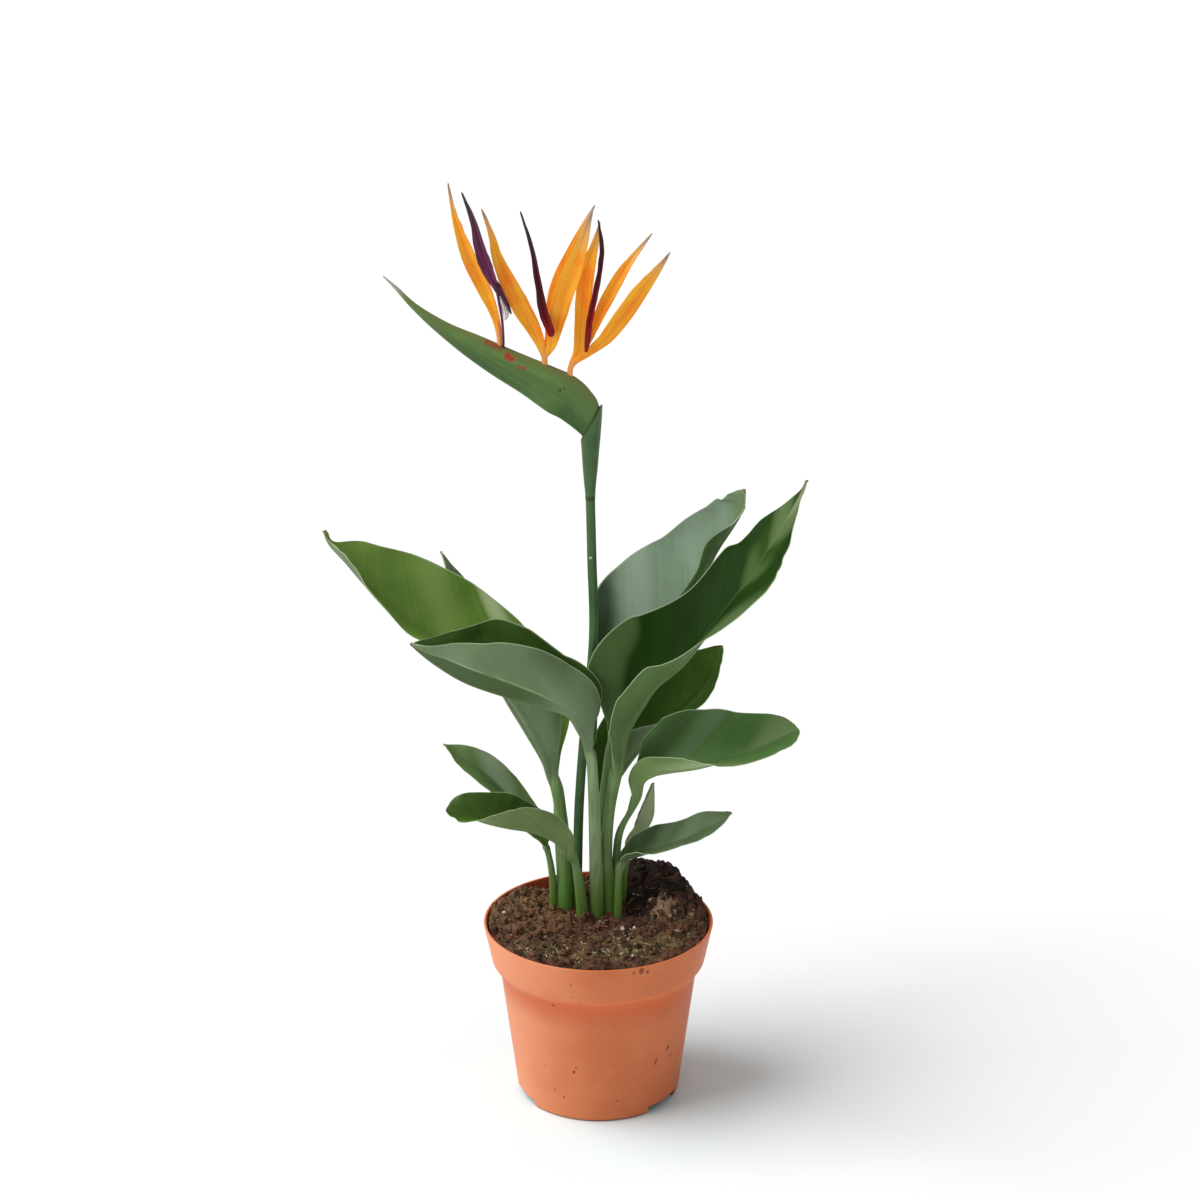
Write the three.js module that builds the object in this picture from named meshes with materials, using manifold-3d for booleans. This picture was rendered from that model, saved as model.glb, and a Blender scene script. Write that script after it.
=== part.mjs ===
import * as THREE from "three";
import { mergeVertices } from "three/addons/utils/BufferGeometryUtils.js";
import Module from "manifold-3d";

const wasm = await Module();
wasm.setup();

// Potted bird of paradise in a 14 cm nursery pot.
// Millimetres, +Z up, origin where the pot's axis meets the ground, X to the right, Y to the back.

// Pot
const potHeight = 112;
const rimRadius = 70;
const bandFootRadius = 65;
const bandHeight = 24;
const shoulderDrop = 7;
const shoulderRadius = 60;
const footRadius = 49.5;
const wall = 1.8;
const floorThickness = 2.2;
const notchWidth = 33;
const notchHeight = 5;
const notchDepth = 11;
const notchAngles = [-36, -158, 83];
const drainRadius = 3;
const footRound = 1.5;
const pocketSide = 3;
const potSides = 64;
// How far a cutting shape runs past what it cuts.
const overcut = 1;

// Soil
const soilClearance = 0.45;
const soilLevel = 108;
const soilEdge = 108;
const socketFloor = 83;
const rootTop = 114;
const socketGap = 0.6;
const socketSides = 16;
const soilRings = 7;
const soilSectors = 36;
const clodHeight = 1.2;
// Heaps of the surface: x, y, height and spread.
const soilHeaps = [
  [40, 38, 19, 13],
  [22, 48, 15, 10],
  [55, 14, 9, 10],
  [0, -55, 3, 25],
];

// Leaves
const bladeThickness = 0.8;
const ribEnd = 0.5;
const ribDepth = 0.9;
const ribShareRange = [0.05, 0.25];
// Places of a ring's points across a blade, as shares of a half's width, beyond the midrib's own.
const leafShares = [0.33, 0.66, 1];
const petalShares = [0.5, 1];
const stepsPerRow = 2;
const tangentStep = 0.02;
// A stalk's depth against its width.
const roundDepth = 0.9;

// Flower stalk and bracts
const stalkRadius = 2.9;
const stalkFoot = [-13, 22];
const stalkSides = 12;
const seatGap = 0.3;
const sheathWall = 0.8;
const clawRadius = 1.5;
const clawSocket = 2.3;
const clawDepth = 20;
const petalThickness = 0.9;
const petalCup = 0.5;

const rad = THREE.MathUtils.degToRad;

// Each leaf: its heading in degrees from +X towards +Y, the stalk's rows of x, y, z and radius, and the
// blade's rows of x, y, z along the midrib, the widths of its left and right halves, and their folds.
const leaves = [
  {
    name: "leaf_01",
    heading: 172,
    root: [-20.8, 22.5, 4.4],
    stalk: [
      [-20.9, 23, 148, 4.4],
      [-24.4, 24, 184, 3.8],
    ],
    blade: [
      [-30, 25, 205, 7, 8, 70, 60],
      [-39, 27, 224, 19, 27, 98, 60],
      [-52, 29, 246, 30, 30, 80, 60],
      [-70, 32, 263, 36, 38, 56, 62],
      [-103, 37, 283, 36, 43, 17.5, 66],
      [-134, 41.7, 308.5, 27, 33, 21, 63],
      [-151, 43.5, 328, 16, 17, 24, 58],
      [-160.5, 44.6, 338.5, 3.5, 3, 24, 40],
      [-164, 45, 347, 1, 1, 10, 10],
    ],
    cup: 0.35,
    wave: [1.5, 2.5, 0],
  },
  {
    name: "leaf_02",
    heading: 178,
    root: [-1, 13, 4],
    stalk: [
      [-1.8, 8, 160, 3.9],
      [-3.8, 4, 212, 3.1],
    ],
    blade: [
      [-6.5, 3, 226, 4, 7, 70, 50],
      [-11, 1, 237, 10, 16, 88, 50],
      [-18, -2, 248, 25, 29, 98, 70],
      [-32, -4.5, 254, 32.5, 34, 94, 74],
      [-54, -8, 262, 37.5, 43, 82, 66],
      [-78, -11, 272, 33, 41.5, 78, 60],
      [-97, -13, 285, 19, 22, 76, 54],
      [-110, -14, 297, 1, 1, 40, 40],
    ],
    cup: 0.35,
    wave: [1.2, 2, 1],
  },
  {
    name: "leaf_03",
    heading: 20,
    root: [-2, 26, 3.4],
    stalk: [
      [1, 24, 160, 3],
      [6, 23.5, 206, 2.8],
    ],
    blade: [
      [9.5, 25.5, 231, 4, 6, 50, 70],
      [13, 28.5, 245, 9, 9, 50, 80],
      [20, 31, 263, 29, 10, 54, 85],
      [35, 32, 282, 48, 8, 52, 88],
      [50, 33, 304, 45, 5, 50, 90],
      [62.5, 34, 323, 36, 5, 50, 94],
      [71, 35, 339, 29, 8, 50, 96],
      [80, 36, 353, 20.5, 4, 50, 64],
      [85.5, 37, 363, 16.5, 3, 51, 6],
      [86.5, 37, 370.5, 10.5, 2.5, 50, 0],
      [86.5, 37, 375.5, 2.5, 1, 40, 0],
    ],
    cup: 0.3,
    wave: [1.5, 2, 0.5],
  },
  {
    name: "leaf_04",
    heading: 8,
    root: [6.8, 16, 3.7],
    stalk: [
      [4.8, 14.4, 152, 3.7],
      [8.2, 10.6, 190, 3.4],
    ],
    blade: [
      [14, 6, 224, 9, 8, 40, 50],
      [17, 5, 235, 18, 17, 56, 50],
      [25.5, 4, 251, 38, 22, 74, 60],
      [34, 3, 264, 43, 24, 66, 51],
      [50, 2, 279, 40, 40, 60, 32],
      [69, 2, 305, 27, 36, 45, 14],
      [90, 2, 333, 28, 28, 35, -2],
      [98, 3, 347, 20, 23.5, 27, -7],
      [106, 4, 360, 18.5, 17.5, 20, -11],
      [117, 6, 381, 6, 6, 8, -10],
      [121, 6, 391, 1, 1, 0, 0],
    ],
    cup: 0.3,
    wave: [1.5, 2.5, 0.2],
  },
  {
    name: "leaf_05",
    heading: 170,
    root: [-22, 31, 3.2],
    stalk: [
      [-24.5, 32, 160, 2.8],
      [-26, 32, 184, 2.6],
    ],
    blade: [
      [-33, 42, 199.2, 8, 8, 60, 60],
      [-45, 50, 217.4, 16, 16, 60, 60],
      [-60.3, 61, 240.5, 20, 20, 45, 40],
      [-77.4, 71, 277.7, 19, 19, 25, 20],
      [-89.5, 79, 305.9, 10, 10, 10, 10],
      [-96.5, 83, 321, 1, 1, 10, 10],
    ],
    cup: 0.3,
    wave: [1, 2, 0],
  },
  {
    name: "leaf_06",
    heading: 25,
    root: [4, 33, 3.2],
    stalk: [
      [4, 33, 150, 2.8],
    ],
    blade: [
      [9, 35, 183, 12, 7, 60, 80],
      [16, 36.5, 197, 24, 16, 60, 96],
      [27, 37.5, 211, 30, 20, 58, 80],
      [42, 38.5, 226, 30, 18, 54, 46],
      [58, 41, 240, 30, 18, 50, 14],
      [68, 44, 252, 26, 9, 46, 0],
      [72.5, 46, 263, 18, 4, 38, 0],
      [74.5, 47, 273, 2, 2, 10, 10],
    ],
    cup: 0.3,
    wave: [1, 2, 0],
  },
  {
    name: "leaf_07",
    heading: 0,
    root: [11, 22.5, 2.6],
    stalk: [
      [12, 18, 157, 2.2],
      [20, 16, 178, 2],
    ],
    blade: [
      [26, 11.5, 197.5, 8, 9, 40, 84],
      [33, 8, 204.5, 22, 15.5, 60, 66],
      [43, 5, 208, 32.5, 21, 66, 49],
      [57.9, 3, 211, 36, 25, 64, 38],
      [72.9, 2, 215.2, 33.5, 28, 62, 20],
      [88.9, 1, 220.2, 28.5, 25, 60, 9],
      [107, 1, 229.2, 18.3, 18.5, 60, 0],
      [116, 1, 234, 11, 11, 58, -4],
      [119.8, 1, 236.4, 3, 3, 30, 0],
    ],
    cup: 0.3,
    wave: [1, 2, 0],
  },
  {
    name: "leaf_08",
    heading: 176,
    root: [-27.6, 19.2, 2.2],
    stalk: [
      [-28.5, 19.7, 134, 1.9],
      [-31.2, 22, 148, 1.8],
    ],
    blade: [
      [-33, 22, 153, 5, 4, 0, 40],
      [-39, 24, 163, 9, 8, -14, 60],
      [-49, 26, 175, 14, 10, -10, 68],
      [-60, 28, 187, 16, 12, -3, 70],
      [-72, 28, 199, 13, 12, -6, 64],
      [-84, 28, 208, 8, 8, -12, 60],
      [-94, 28, 216, 1, 1, 0, 10],
    ],
    cup: 0.3,
    wave: [0.7, 2, 0],
  },
  {
    name: "leaf_09",
    heading: 182,
    root: [-10, 10, 3.6],
    stalk: [
      [-12, 8, 134, 3],
      [-15, 5, 150, 2.6],
    ],
    blade: [
      [-21, 2, 160, 9, 9, 80, 20],
      [-29, 0, 167, 13, 13, 100, 32],
      [-41, -3, 173, 16, 16, 84, 48],
      [-54, -5, 176, 17, 20, 64, 64],
      [-67, -7, 180, 15, 19, 40, 62],
      [-81, -8, 185.6, 11, 14, 0, 56],
      [-88.6, -9, 188.3, 6.5, 8, -4, 30],
      [-91.3, -9, 189, 2.5, 2.5, 0, 10],
    ],
    cup: 0.3,
    wave: [0.7, 2, 0],
  },
  {
    name: "leaf_10",
    heading: 0,
    root: [12, 9.5, 2.4],
    stalk: [
      [12.4, 9.8, 138.8, 2.1],
    ],
    blade: [
      [16, 11, 147, 7, 7, 30, 24],
      [25, 8, 152, 12, 12, 70, 34],
      [38, 4, 157.5, 15, 15, 64, 20],
      [54, 0, 166, 12, 13, 60, 8],
      [68, -4, 175.5, 10.5, 8, 56, -6],
      [80, -6, 185.6, 1.5, 1.5, 10, 0],
    ],
    cup: 0.3,
    wave: [0.7, 2, 0],
  },
  {
    name: "leaf_11",
    heading: 10,
    root: [15, 28, 2.2],
    stalk: [
      [17, 28, 138, 1.8],
    ],
    blade: [
      [20, 28, 150, 4, 4, 80, 80],
      [27.6, 28, 158, 7, 7, 80, 80],
      [32.6, 28, 168, 8.5, 8.5, 80, 80],
      [33.4, 28, 179, 5.5, 5.5, 75, 75],
      [33.3, 28, 190.5, 1, 1, 30, 30],
    ],
    cup: 0.3,
    wave: [0.3, 1, 0],
  },
];

// The flower stalk's rows of x, z and radius: it leans a little to the right as it rises.
const stalkRows = [
  [-13, socketFloor, 2.9],
  [-13, rootTop, 2.9],
  [-12.5, 150, 2.9],
  [-11.5, 182, 2.9],
  [-8.6, 224, 2.8],
  [-2.9, 286, 2.8],
  [-3.8, 336, 2.8],
  [-4.6, 371, 2.8],
  [-4.7, 373.5, 3],
  [-4.8, 376, 1.8],
  [-5, 403, 1.9],
];

// The sheath round the spathe's neck: rows of x, z and outer radius, and two points of its slanted mouth.
const sheathRows = [
  [-4.7, 376.4, 3],
  [-4.8, 384, 3.6],
  [-4.7, 394, 4.5],
  [-4.6, 404, 5.2],
  [-4.5, 413, 5.9],
  [-4.2, 424, 6.4],
  [-4, 436, 6.6],
];
const sheathMouth = [
  [-10, 411],
  [2, 432],
];

// The spathe's rows from its neck to its tip: x and z of its upper edge, x and z of its keel, half thickness.
const spatheRows = [
  [-1.8, 404, -8.2, 404, 3.2],
  [0.8, 429, -8.8, 412, 4.6],
  [-5, 441, -21, 422.6, 6.4],
  [-14, 449, -30.4, 427.9, 7],
  [-27, 455, -45, 438.8, 6.8],
  [-47, 463.5, -62, 450, 5.8],
  [-67, 472.5, -80, 463.5, 4.4],
  [-86, 480.5, -96.4, 478, 2.6],
  [-104, 491.5, -107.6, 489.4, 1.5],
  [-115, 501.8, -116.6, 500.2, 0.9],
  [-123, 508.4, -123.4, 507.8, 0.4],
];

// The three florets: each has up to three sepals and one arrow petal, as rows of x, y, z and half width.
const florets = [
  {
    sepals: [
      {
        heading: 80,
        fold: 25,
        rows: [
          [-57, 22, 462, 1.5],
          [-57.2, 22, 474, 1.6],
          [-60, 21, 488, 3],
          [-65, 21, 501, 4.6],
          [-73, 20, 519, 4.8],
          [-79, 19, 536, 3],
          [-82, 18, 547, 1.6],
          [-85, 17, 563, 0.4],
        ],
      },
    ],
    petal: {
      heading: 90,
      fold: 35,
      rows: [
        [-55.2, 19.4, 478, 0.9],
        [-54.2, 17.6, 483, 1.4],
        [-52.6, 15, 492, 3.4],
        [-56, 13.4, 500.4, 3.2],
        [-61, 12, 511.5, 3],
        [-65, 12, 524, 3.2],
        [-71, 11, 543.5, 2],
        [-77, 11, 559, 0.4],
      ],
    },
  },
  {
    sepals: [
      {
        heading: 95,
        fold: 20,
        rows: [
          [-31, 22, 451, 1.5],
          [-31, 22, 460, 1.6],
          [-36, 21, 475, 4],
          [-43.3, 20, 489, 5.6],
          [-50.6, 18, 504, 5.2],
          [-57.3, 16, 520, 3.4],
          [-61, 15, 535, 1.8],
          [-66, 14, 549, 0.4],
        ],
      },
      {
        heading: 85,
        fold: 20,
        rows: [
          [-31, 22, 451, 1.5],
          [-31, 22, 460, 1.6],
          [-27, 21, 468, 3],
          [-24, 19, 482, 5],
          [-20, 17, 498, 6],
          [-14, 16, 514, 5.6],
          [-9, 15, 529, 3.4],
          [-3, 15, 549, 0.4],
        ],
      },
      {
        heading: 70,
        fold: 20,
        rows: [
          [-31, 22, 451, 1.5],
          [-31, 22, 460, 1.6],
          [-28, 24, 473, 2.7],
          [-25.4, 27, 490, 4.6],
          [-21, 29, 504, 5.4],
          [-15, 31, 518, 4.4],
          [-9, 32, 533, 2.2],
          [-2, 33, 547, 0.4],
        ],
      },
    ],
    petal: {
      heading: 90,
      fold: 35,
      rows: [
        [-28, 16, 472, 0.8],
        [-28, 15.7, 475, 1.4],
        [-29, 15, 481, 3],
        [-32, 15, 489, 3],
        [-34, 14, 508, 2.2],
        [-38, 12, 528, 1.4],
        [-44, 11, 548, 0.4],
      ],
    },
  },
  {
    sepals: [
      {
        heading: 90,
        fold: 20,
        rows: [
          [-16, 22, 444, 1.5],
          [-15.7, 22, 455, 1.6],
          [-11, 23, 464, 3.6],
          [-9, 25, 482, 5],
          [-8, 27, 499, 5],
          [-6, 28, 512, 4.6],
          [-2, 29, 525, 2.4],
          [1, 29, 538, 0.4],
        ],
      },
      {
        heading: 75,
        fold: 20,
        rows: [
          [-16, 22, 444, 1.5],
          [-15.7, 22, 455, 1.6],
          [-7, 24, 467, 2],
          [-1, 26, 480, 3],
          [5, 29, 492, 4],
          [13, 32, 506, 3.6],
          [20, 34, 516, 2.2],
          [31, 36, 530, 0.4],
        ],
      },
      {
        heading: 100,
        fold: 20,
        rows: [
          [-16, 22, 444, 1.5],
          [-15.7, 22, 455, 1.6],
          [-6, 21, 463.5, 2.8],
          [4, 19, 473, 4.6],
          [14, 17, 487, 5.6],
          [24, 15, 502, 5],
          [32, 14, 512, 3],
          [41, 14, 524, 0.4],
        ],
      },
    ],
    petal: {
      heading: 90,
      fold: 35,
      rows: [
        [-7, 17.2, 465, 0.8],
        [-6.4, 15.8, 470, 1.6],
        [-5, 15, 483, 2.2],
        [-2, 16, 498, 2],
        [1, 18, 513, 1.7],
        [2, 20, 526, 1.5],
        [0, 21, 541, 0.4],
      ],
    },
  },
];

// A smooth value between rows: t counts rows, and each column is eased through its four nearest rows.
function rowAt(rows, t) {
  const i = Math.min(Math.floor(t), rows.length - 2);
  const u = t - i;
  const [a, b, c, d] = [i - 1, i, i + 1, i + 2].map((k) => rows[THREE.MathUtils.clamp(k, 0, rows.length - 1)]);
  return b.map((_, k) => {
    const slope = c[k] - a[k];
    const bend = 2 * a[k] - 5 * b[k] + 4 * c[k] - d[k];
    const twist = 3 * b[k] - a[k] - 3 * c[k] + d[k];
    return 0.5 * (2 * b[k] + u * (slope + u * (bend + u * twist)));
  });
}

// Joins rings of an even number of points into a closed surface. The first half of a ring is its upper
// side from right to left and the second half comes back below, and both sides are split alike.
function skin(rings) {
  const n = rings[0].length;
  const half = n / 2;
  const positions = rings.flat().flatMap((p) => [p.x, p.y, p.z]);
  const faces = [];
  for (let i = 0; i < rings.length - 1; i++) {
    for (let k = 0; k < n; k++) {
      const next = (k + 1) % n;
      const [a, b, c, d] = [i * n + k, (i + 1) * n + k, (i + 1) * n + next, i * n + next];
      faces.push(...(k < half ? [a, b, c, a, c, d] : [a, b, d, b, c, d]));
    }
  }
  const last = (rings.length - 1) * n;
  for (let k = 0; k < half - 1; k++) {
    const [a, b, c, d] = [k, k + 1, n - 2 - k, n - 1 - k];
    faces.push(a, b, d, b, c, d);
    faces.push(last + a, last + d, last + b, last + b, last + d, last + c);
  }
  const geometry = new THREE.BufferGeometry();
  geometry.setAttribute("position", new THREE.Float32BufferAttribute(positions, 3));
  geometry.setIndex(faces);
  return geometry;
}

// One ring across a leaf: a round stalk that opens into two halves folded up from the midrib.
function leafRing(leaf, rows, t, opened, tipped, thickness) {
  const [x, y, z, leftWidth, rightWidth, left, right] = rowAt(rows, t);
  const here = new THREE.Vector3(x, y, z);
  const ahead = new THREE.Vector3(...rowAt(rows, Math.min(t + tangentStep, rows.length - 1)));
  const behind = new THREE.Vector3(...rowAt(rows, Math.max(t - tangentStep, 0)));
  const along = ahead.sub(behind).normalize();
  const heading = rad(leaf.heading);
  const side = new THREE.Vector3(-Math.sin(heading), Math.cos(heading), 0);
  side.addScaledVector(along, -side.dot(along)).normalize();
  const above = new THREE.Vector3().crossVectors(along, side);
  const rib = THREE.MathUtils.lerp(leaf.rib, ribEnd, tipped);
  const ribShare = THREE.MathUtils.clamp(rib / Math.max(leftWidth, rightWidth, ribEnd), ...ribShareRange);
  const half = [ribShare, ...leaf.shares];
  const shares = [...half.map((share) => -share).reverse(), 0, ...half];
  const [size, count, phase] = leaf.wave;
  const points = [1, -1].map((face) =>
    shares.map((share, j) => {
      const w = Math.max(share > 0 ? leftWidth : rightWidth, ribEnd);
      const turn = (Math.PI * j) / (shares.length - 1);
      const round = [-w * Math.cos(turn), face * (roundDepth * w * Math.sin(turn) + thickness / 2)];
      const fold = rad(share > 0 ? left : right);
      const s = Math.abs(share) * w;
      const bend = leaf.cup * fold * Math.abs(share);
      const lean = fold * (1 - leaf.cup) + bend;
      const reach = s * (bend ? Math.sin(bend) / bend : 1);
      const ripple = size * share * share * Math.sin(2 * Math.PI * (count * tipped + phase) + share);
      const facing = fold * (1 - leaf.cup) + 2 * bend;
      const bulge = share === 0 && face < 0 ? ribDepth * rib : 0;
      const offset = face * (thickness / 2 + bulge) + ripple;
      const sign = Math.sign(share);
      const blade = [
        sign * (reach * Math.cos(lean) - offset * Math.sin(facing)),
        reach * Math.sin(lean) + offset * (share === 0 ? 1 : Math.cos(facing)),
      ];
      const [s0, n0] = [0, 1].map((k) => THREE.MathUtils.lerp(round[k], blade[k], opened));
      return here.clone().addScaledVector(side, s0).addScaledVector(above, n0);
    }),
  );
  return [...points[0], ...points[1].reverse()];
}

// A blade with its stalk: start is the row where the stalk ends and the blade begins to open.
function bladeGeometry(leaf, rows, start, firstSteps, thickness) {
  const end = rows.length - 1;
  const steps = [...firstSteps];
  for (let i = firstSteps[firstSteps.length - 1]; i < end; i++) {
    for (let k = 1; k <= stepsPerRow; k++) steps.push(i + k / stepsPerRow);
  }
  const rings = steps.map((t) => {
    const opened = THREE.MathUtils.smoothstep(t, start, start + 1);
    const tipped = THREE.MathUtils.clamp((t - start) / (end - start), 0, 1);
    return leafRing(leaf, rows, t, opened, tipped, thickness);
  });
  return skin(rings);
}

function leafGeometry(leaf) {
  const [x, y, r] = leaf.root;
  const folds = leaf.blade[0].slice(5);
  const foot = [socketFloor, (socketFloor + rootTop) / 2, rootTop].map((z) => [x, y, z, r]);
  const stalk = [...foot, ...leaf.stalk].map((row) => [...row, row[3], ...folds]);
  const start = stalk.length - 1;
  const rib = stalk[start][3];
  const rows = [...stalk, ...leaf.blade];
  return bladeGeometry({ ...leaf, rib, shares: leafShares }, rows, start, [0, 2], bladeThickness);
}

// A sepal or petal: rows of x, y, z and half width from its claw to its tip.
function petalGeometry(petal) {
  const rows = petal.rows.map(([x, y, z, w]) => [x, y, z, w, w, petal.fold, petal.fold]);
  const leaf = { ...petal, rib: clawRadius, shares: petalShares, cup: petalCup, wave: [0, 1, 0] };
  return bladeGeometry(leaf, rows, 1, [0, 1], petalThickness);
}

function solidOf(geometry) {
  const plain = geometry.clone();
  plain.deleteAttribute("normal");
  plain.deleteAttribute("uv");
  const merged = mergeVertices(plain, 1e-3);
  const triVerts = new Uint32Array(merged.index.array);
  const vertProperties = new Float32Array(merged.attributes.position.array);
  return new wasm.Manifold(new wasm.Mesh({ numProp: 3, vertProperties, triVerts }));
}

function geometryOf(solid) {
  const { numProp, vertProperties, triVerts } = solid.getMesh();
  const positions = [];
  for (let i = 0; i < vertProperties.length; i += numProp) {
    positions.push(...vertProperties.subarray(i, i + 3));
  }
  const geometry = new THREE.BufferGeometry();
  geometry.setAttribute("position", new THREE.Float32BufferAttribute(positions, 3));
  geometry.setIndex([...triVerts]);
  return geometry;
}

// Turns a profile of radius and height, listed from the axis below to the axis above, about Z.
function turned(profile, sides = potSides) {
  const points = profile.map(([r, z]) => new THREE.Vector2(r, z));
  return new THREE.LatheGeometry(points, sides).rotateX(Math.PI / 2);
}

function upright(x, y, radius, bottom, top, sides = stalkSides) {
  const rod = new THREE.CylinderGeometry(radius, radius, top - bottom, sides);
  return rod.rotateX(Math.PI / 2).translate(x, y, (bottom + top) / 2);
}

// A slice of a ring between two radii, centred on an angle in degrees.
function sector(angle, width, inner, outer, bottom, top) {
  const [from, to] = [rad(angle - width / 2), rad(angle + width / 2)];
  const shape = new THREE.Shape();
  shape.absarc(0, 0, outer, from, to, false);
  shape.absarc(0, 0, inner, to, from, true);
  const options = { depth: top - bottom, bevelEnabled: false, curveSegments: 8 };
  return new THREE.ExtrudeGeometry(shape, options).translate(0, 0, bottom);
}

const shoulderHeight = potHeight - bandHeight - shoulderDrop;
const bandFoot = potHeight - bandHeight;

// The outer radius of the pot at a height.
function potRadius(z) {
  const { mapLinear } = THREE.MathUtils;
  if (z <= shoulderHeight) return mapLinear(z, 0, shoulderHeight, footRadius, shoulderRadius);
  if (z <= bandFoot) return mapLinear(z, shoulderHeight, bandFoot, shoulderRadius, bandFootRadius);
  return mapLinear(z, bandFoot, potHeight, bandFootRadius, rimRadius);
}

const pocketRoof = notchHeight + floorThickness;

function pockets(clearance) {
  const inner = footRadius - notchDepth - wall - clearance;
  const width = notchWidth + 2 * (pocketSide + THREE.MathUtils.radToDeg(clearance / inner));
  return notchAngles.map((angle) =>
    solidOf(sector(angle, width, inner, rimRadius, floorThickness / 2, pocketRoof + clearance)),
  );
}

function potSolid() {
  const heights = [0, shoulderHeight, bandFoot, potHeight];
  const outside = heights.map((z) => [potRadius(z), z]);
  outside.splice(0, 1, [0, 0], [footRadius - footRound, 0], [potRadius(footRound), footRound]);
  const body = solidOf(turned([...outside, [0, potHeight]]));
  const within = [floorThickness, shoulderHeight, bandFoot, potHeight + overcut];
  const inside = within.map((z) => [potRadius(z) - wall, z]);
  let cavity = solidOf(turned([[0, floorThickness], ...inside, [0, potHeight + overcut]]));
  for (const pocket of pockets(0)) cavity = cavity.subtract(pocket);
  let pot = body.subtract(cavity);
  const drainAt = footRadius - (notchDepth + wall) / 2;
  for (const angle of notchAngles) {
    const notch = sector(angle, notchWidth, footRadius - notchDepth, rimRadius, -overcut, notchHeight);
    const [x, y] = [drainAt * Math.cos(rad(angle)), drainAt * Math.sin(rad(angle))];
    const drain = upright(x, y, drainRadius, notchHeight - overcut, pocketRoof + overcut);
    pot = pot.subtract(solidOf(notch)).subtract(solidOf(drain));
  }
  return pot;
}

// Height of the soil's surface: level, with heaps at the back and the right, and shallow clods.
function soilHeight(x, y) {
  const heaps = soilHeaps.map(([cx, cy, height, spread]) => {
    const away = Math.hypot(x - cx, y - cy) / spread;
    return height * Math.exp((-away * away) / 2);
  });
  const clods = Math.sin(x * 0.31 + 1) * Math.cos(y * 0.27) + 0.6 * Math.sin(x * 0.17 - y * 0.41);
  return soilLevel + heaps.reduce((sum, height) => sum + height) + clodHeight * clods;
}

function soilSolid() {
  const bottom = floorThickness + soilClearance;
  const wallHeights = [bottom, shoulderHeight, bandFoot];
  const reach = (z) => potRadius(z) - wall - soilClearance;
  const positions = [0, 0, bottom];
  const faces = [];
  const ring = (radius, height) => {
    for (let k = 0; k < soilSectors; k++) {
      const turn = (2 * Math.PI * k) / soilSectors;
      const [x, y] = [radius * Math.cos(turn), radius * Math.sin(turn)];
      positions.push(x, y, height ?? soilHeight(x, y));
    }
  };
  for (const z of wallHeights) ring(reach(z), z);
  for (let k = soilRings; k > 0; k--) ring((reach(soilEdge) * k) / soilRings);
  positions.push(0, 0, soilHeight(0, 0));
  const rings = wallHeights.length + soilRings;
  const last = positions.length / 3 - 1;
  for (let k = 0; k < soilSectors; k++) {
    const next = (k + 1) % soilSectors;
    faces.push(0, 1 + next, 1 + k);
    for (let i = 0; i < rings - 1; i++) {
      const [a, b] = [1 + i * soilSectors, 1 + (i + 1) * soilSectors];
      faces.push(a + k, a + next, b + next, a + k, b + next, b + k);
    }
    const top = 1 + (rings - 1) * soilSectors;
    faces.push(top + k, top + next, last);
  }
  const geometry = new THREE.BufferGeometry();
  geometry.setAttribute("position", new THREE.Float32BufferAttribute(positions, 3));
  geometry.setIndex(faces);
  let soil = solidOf(geometry);
  for (const pocket of pockets(soilClearance)) soil = soil.subtract(pocket);
  const roots = [...leaves.map((leaf) => leaf.root), [...stalkFoot, stalkRadius]];
  for (const [x, y, r] of roots) {
    const socket = upright(x, y, r + socketGap, socketFloor - seatGap, 2 * potHeight, socketSides);
    soil = soil.subtract(solidOf(socket));
  }
  return soil;
}

// Joins rings round points of a path: each row is a centre, the ring's upward axis and its two radii.
function loftGeometry(rows) {
  const rings = rows.map(([centre, above, side]) =>
    Array.from({ length: stalkSides }, (_, k) => {
      const turn = Math.PI - (2 * Math.PI * (k + 0.5)) / stalkSides;
      return centre.clone().addScaledVector(side, Math.cos(turn)).addScaledVector(above, Math.sin(turn));
    }),
  );
  return skin(rings);
}

// Rings that lie level, for the upright flower stalk and its sheath: rows of x, z and radius.
function levelRings(rows) {
  return rows.map(([x, z, r]) => {
    const centre = new THREE.Vector3(x, stalkFoot[1], z);
    return [centre, new THREE.Vector3(r, 0, 0), new THREE.Vector3(0, -r, 0)];
  });
}

// The spathe's rings stand across it, between a point of its upper edge and one of its keel.
function spatheGeometry() {
  const rows = spatheRows.map(([topX, topZ, keelX, keelZ, half]) => {
    const top = new THREE.Vector3(topX, stalkFoot[1], topZ);
    const keel = new THREE.Vector3(keelX, stalkFoot[1], keelZ);
    const centre = top.clone().lerp(keel, 0.5);
    return [centre, top.clone().sub(centre), new THREE.Vector3(0, -half, 0)];
  });
  return loftGeometry(rows);
}

function spatheSolid() {
  let spathe = solidOf(spatheGeometry());
  for (const { sepals } of florets) {
    const [x, y, z] = sepals[0].rows[0];
    spathe = spathe.subtract(solidOf(upright(x, y, clawSocket, z - seatGap, z + clawDepth)));
  }
  return spathe;
}

function sheathSolid() {
  const inner = sheathRows.map(([x, z, r]) => [x, z, r - sheathWall]);
  inner[0][1] -= overcut;
  inner[inner.length - 1][1] += overcut;
  const [outside, inside] = [sheathRows, inner].map((rows) => solidOf(loftGeometry(levelRings(rows))));
  const [[x0, z0], [x1, z1]] = sheathMouth;
  const down = new THREE.Vector3(z1 - z0, 0, x0 - x1).normalize();
  return outside.subtract(inside).trimByPlane([down.x, down.y, down.z], down.x * x0 + down.z * z0);
}

const plant = new THREE.Group();

function addPiece(name, geometry, material) {
  const mesh = new THREE.Mesh(geometry, material);
  mesh.name = name;
  plant.add(mesh);
}

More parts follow.
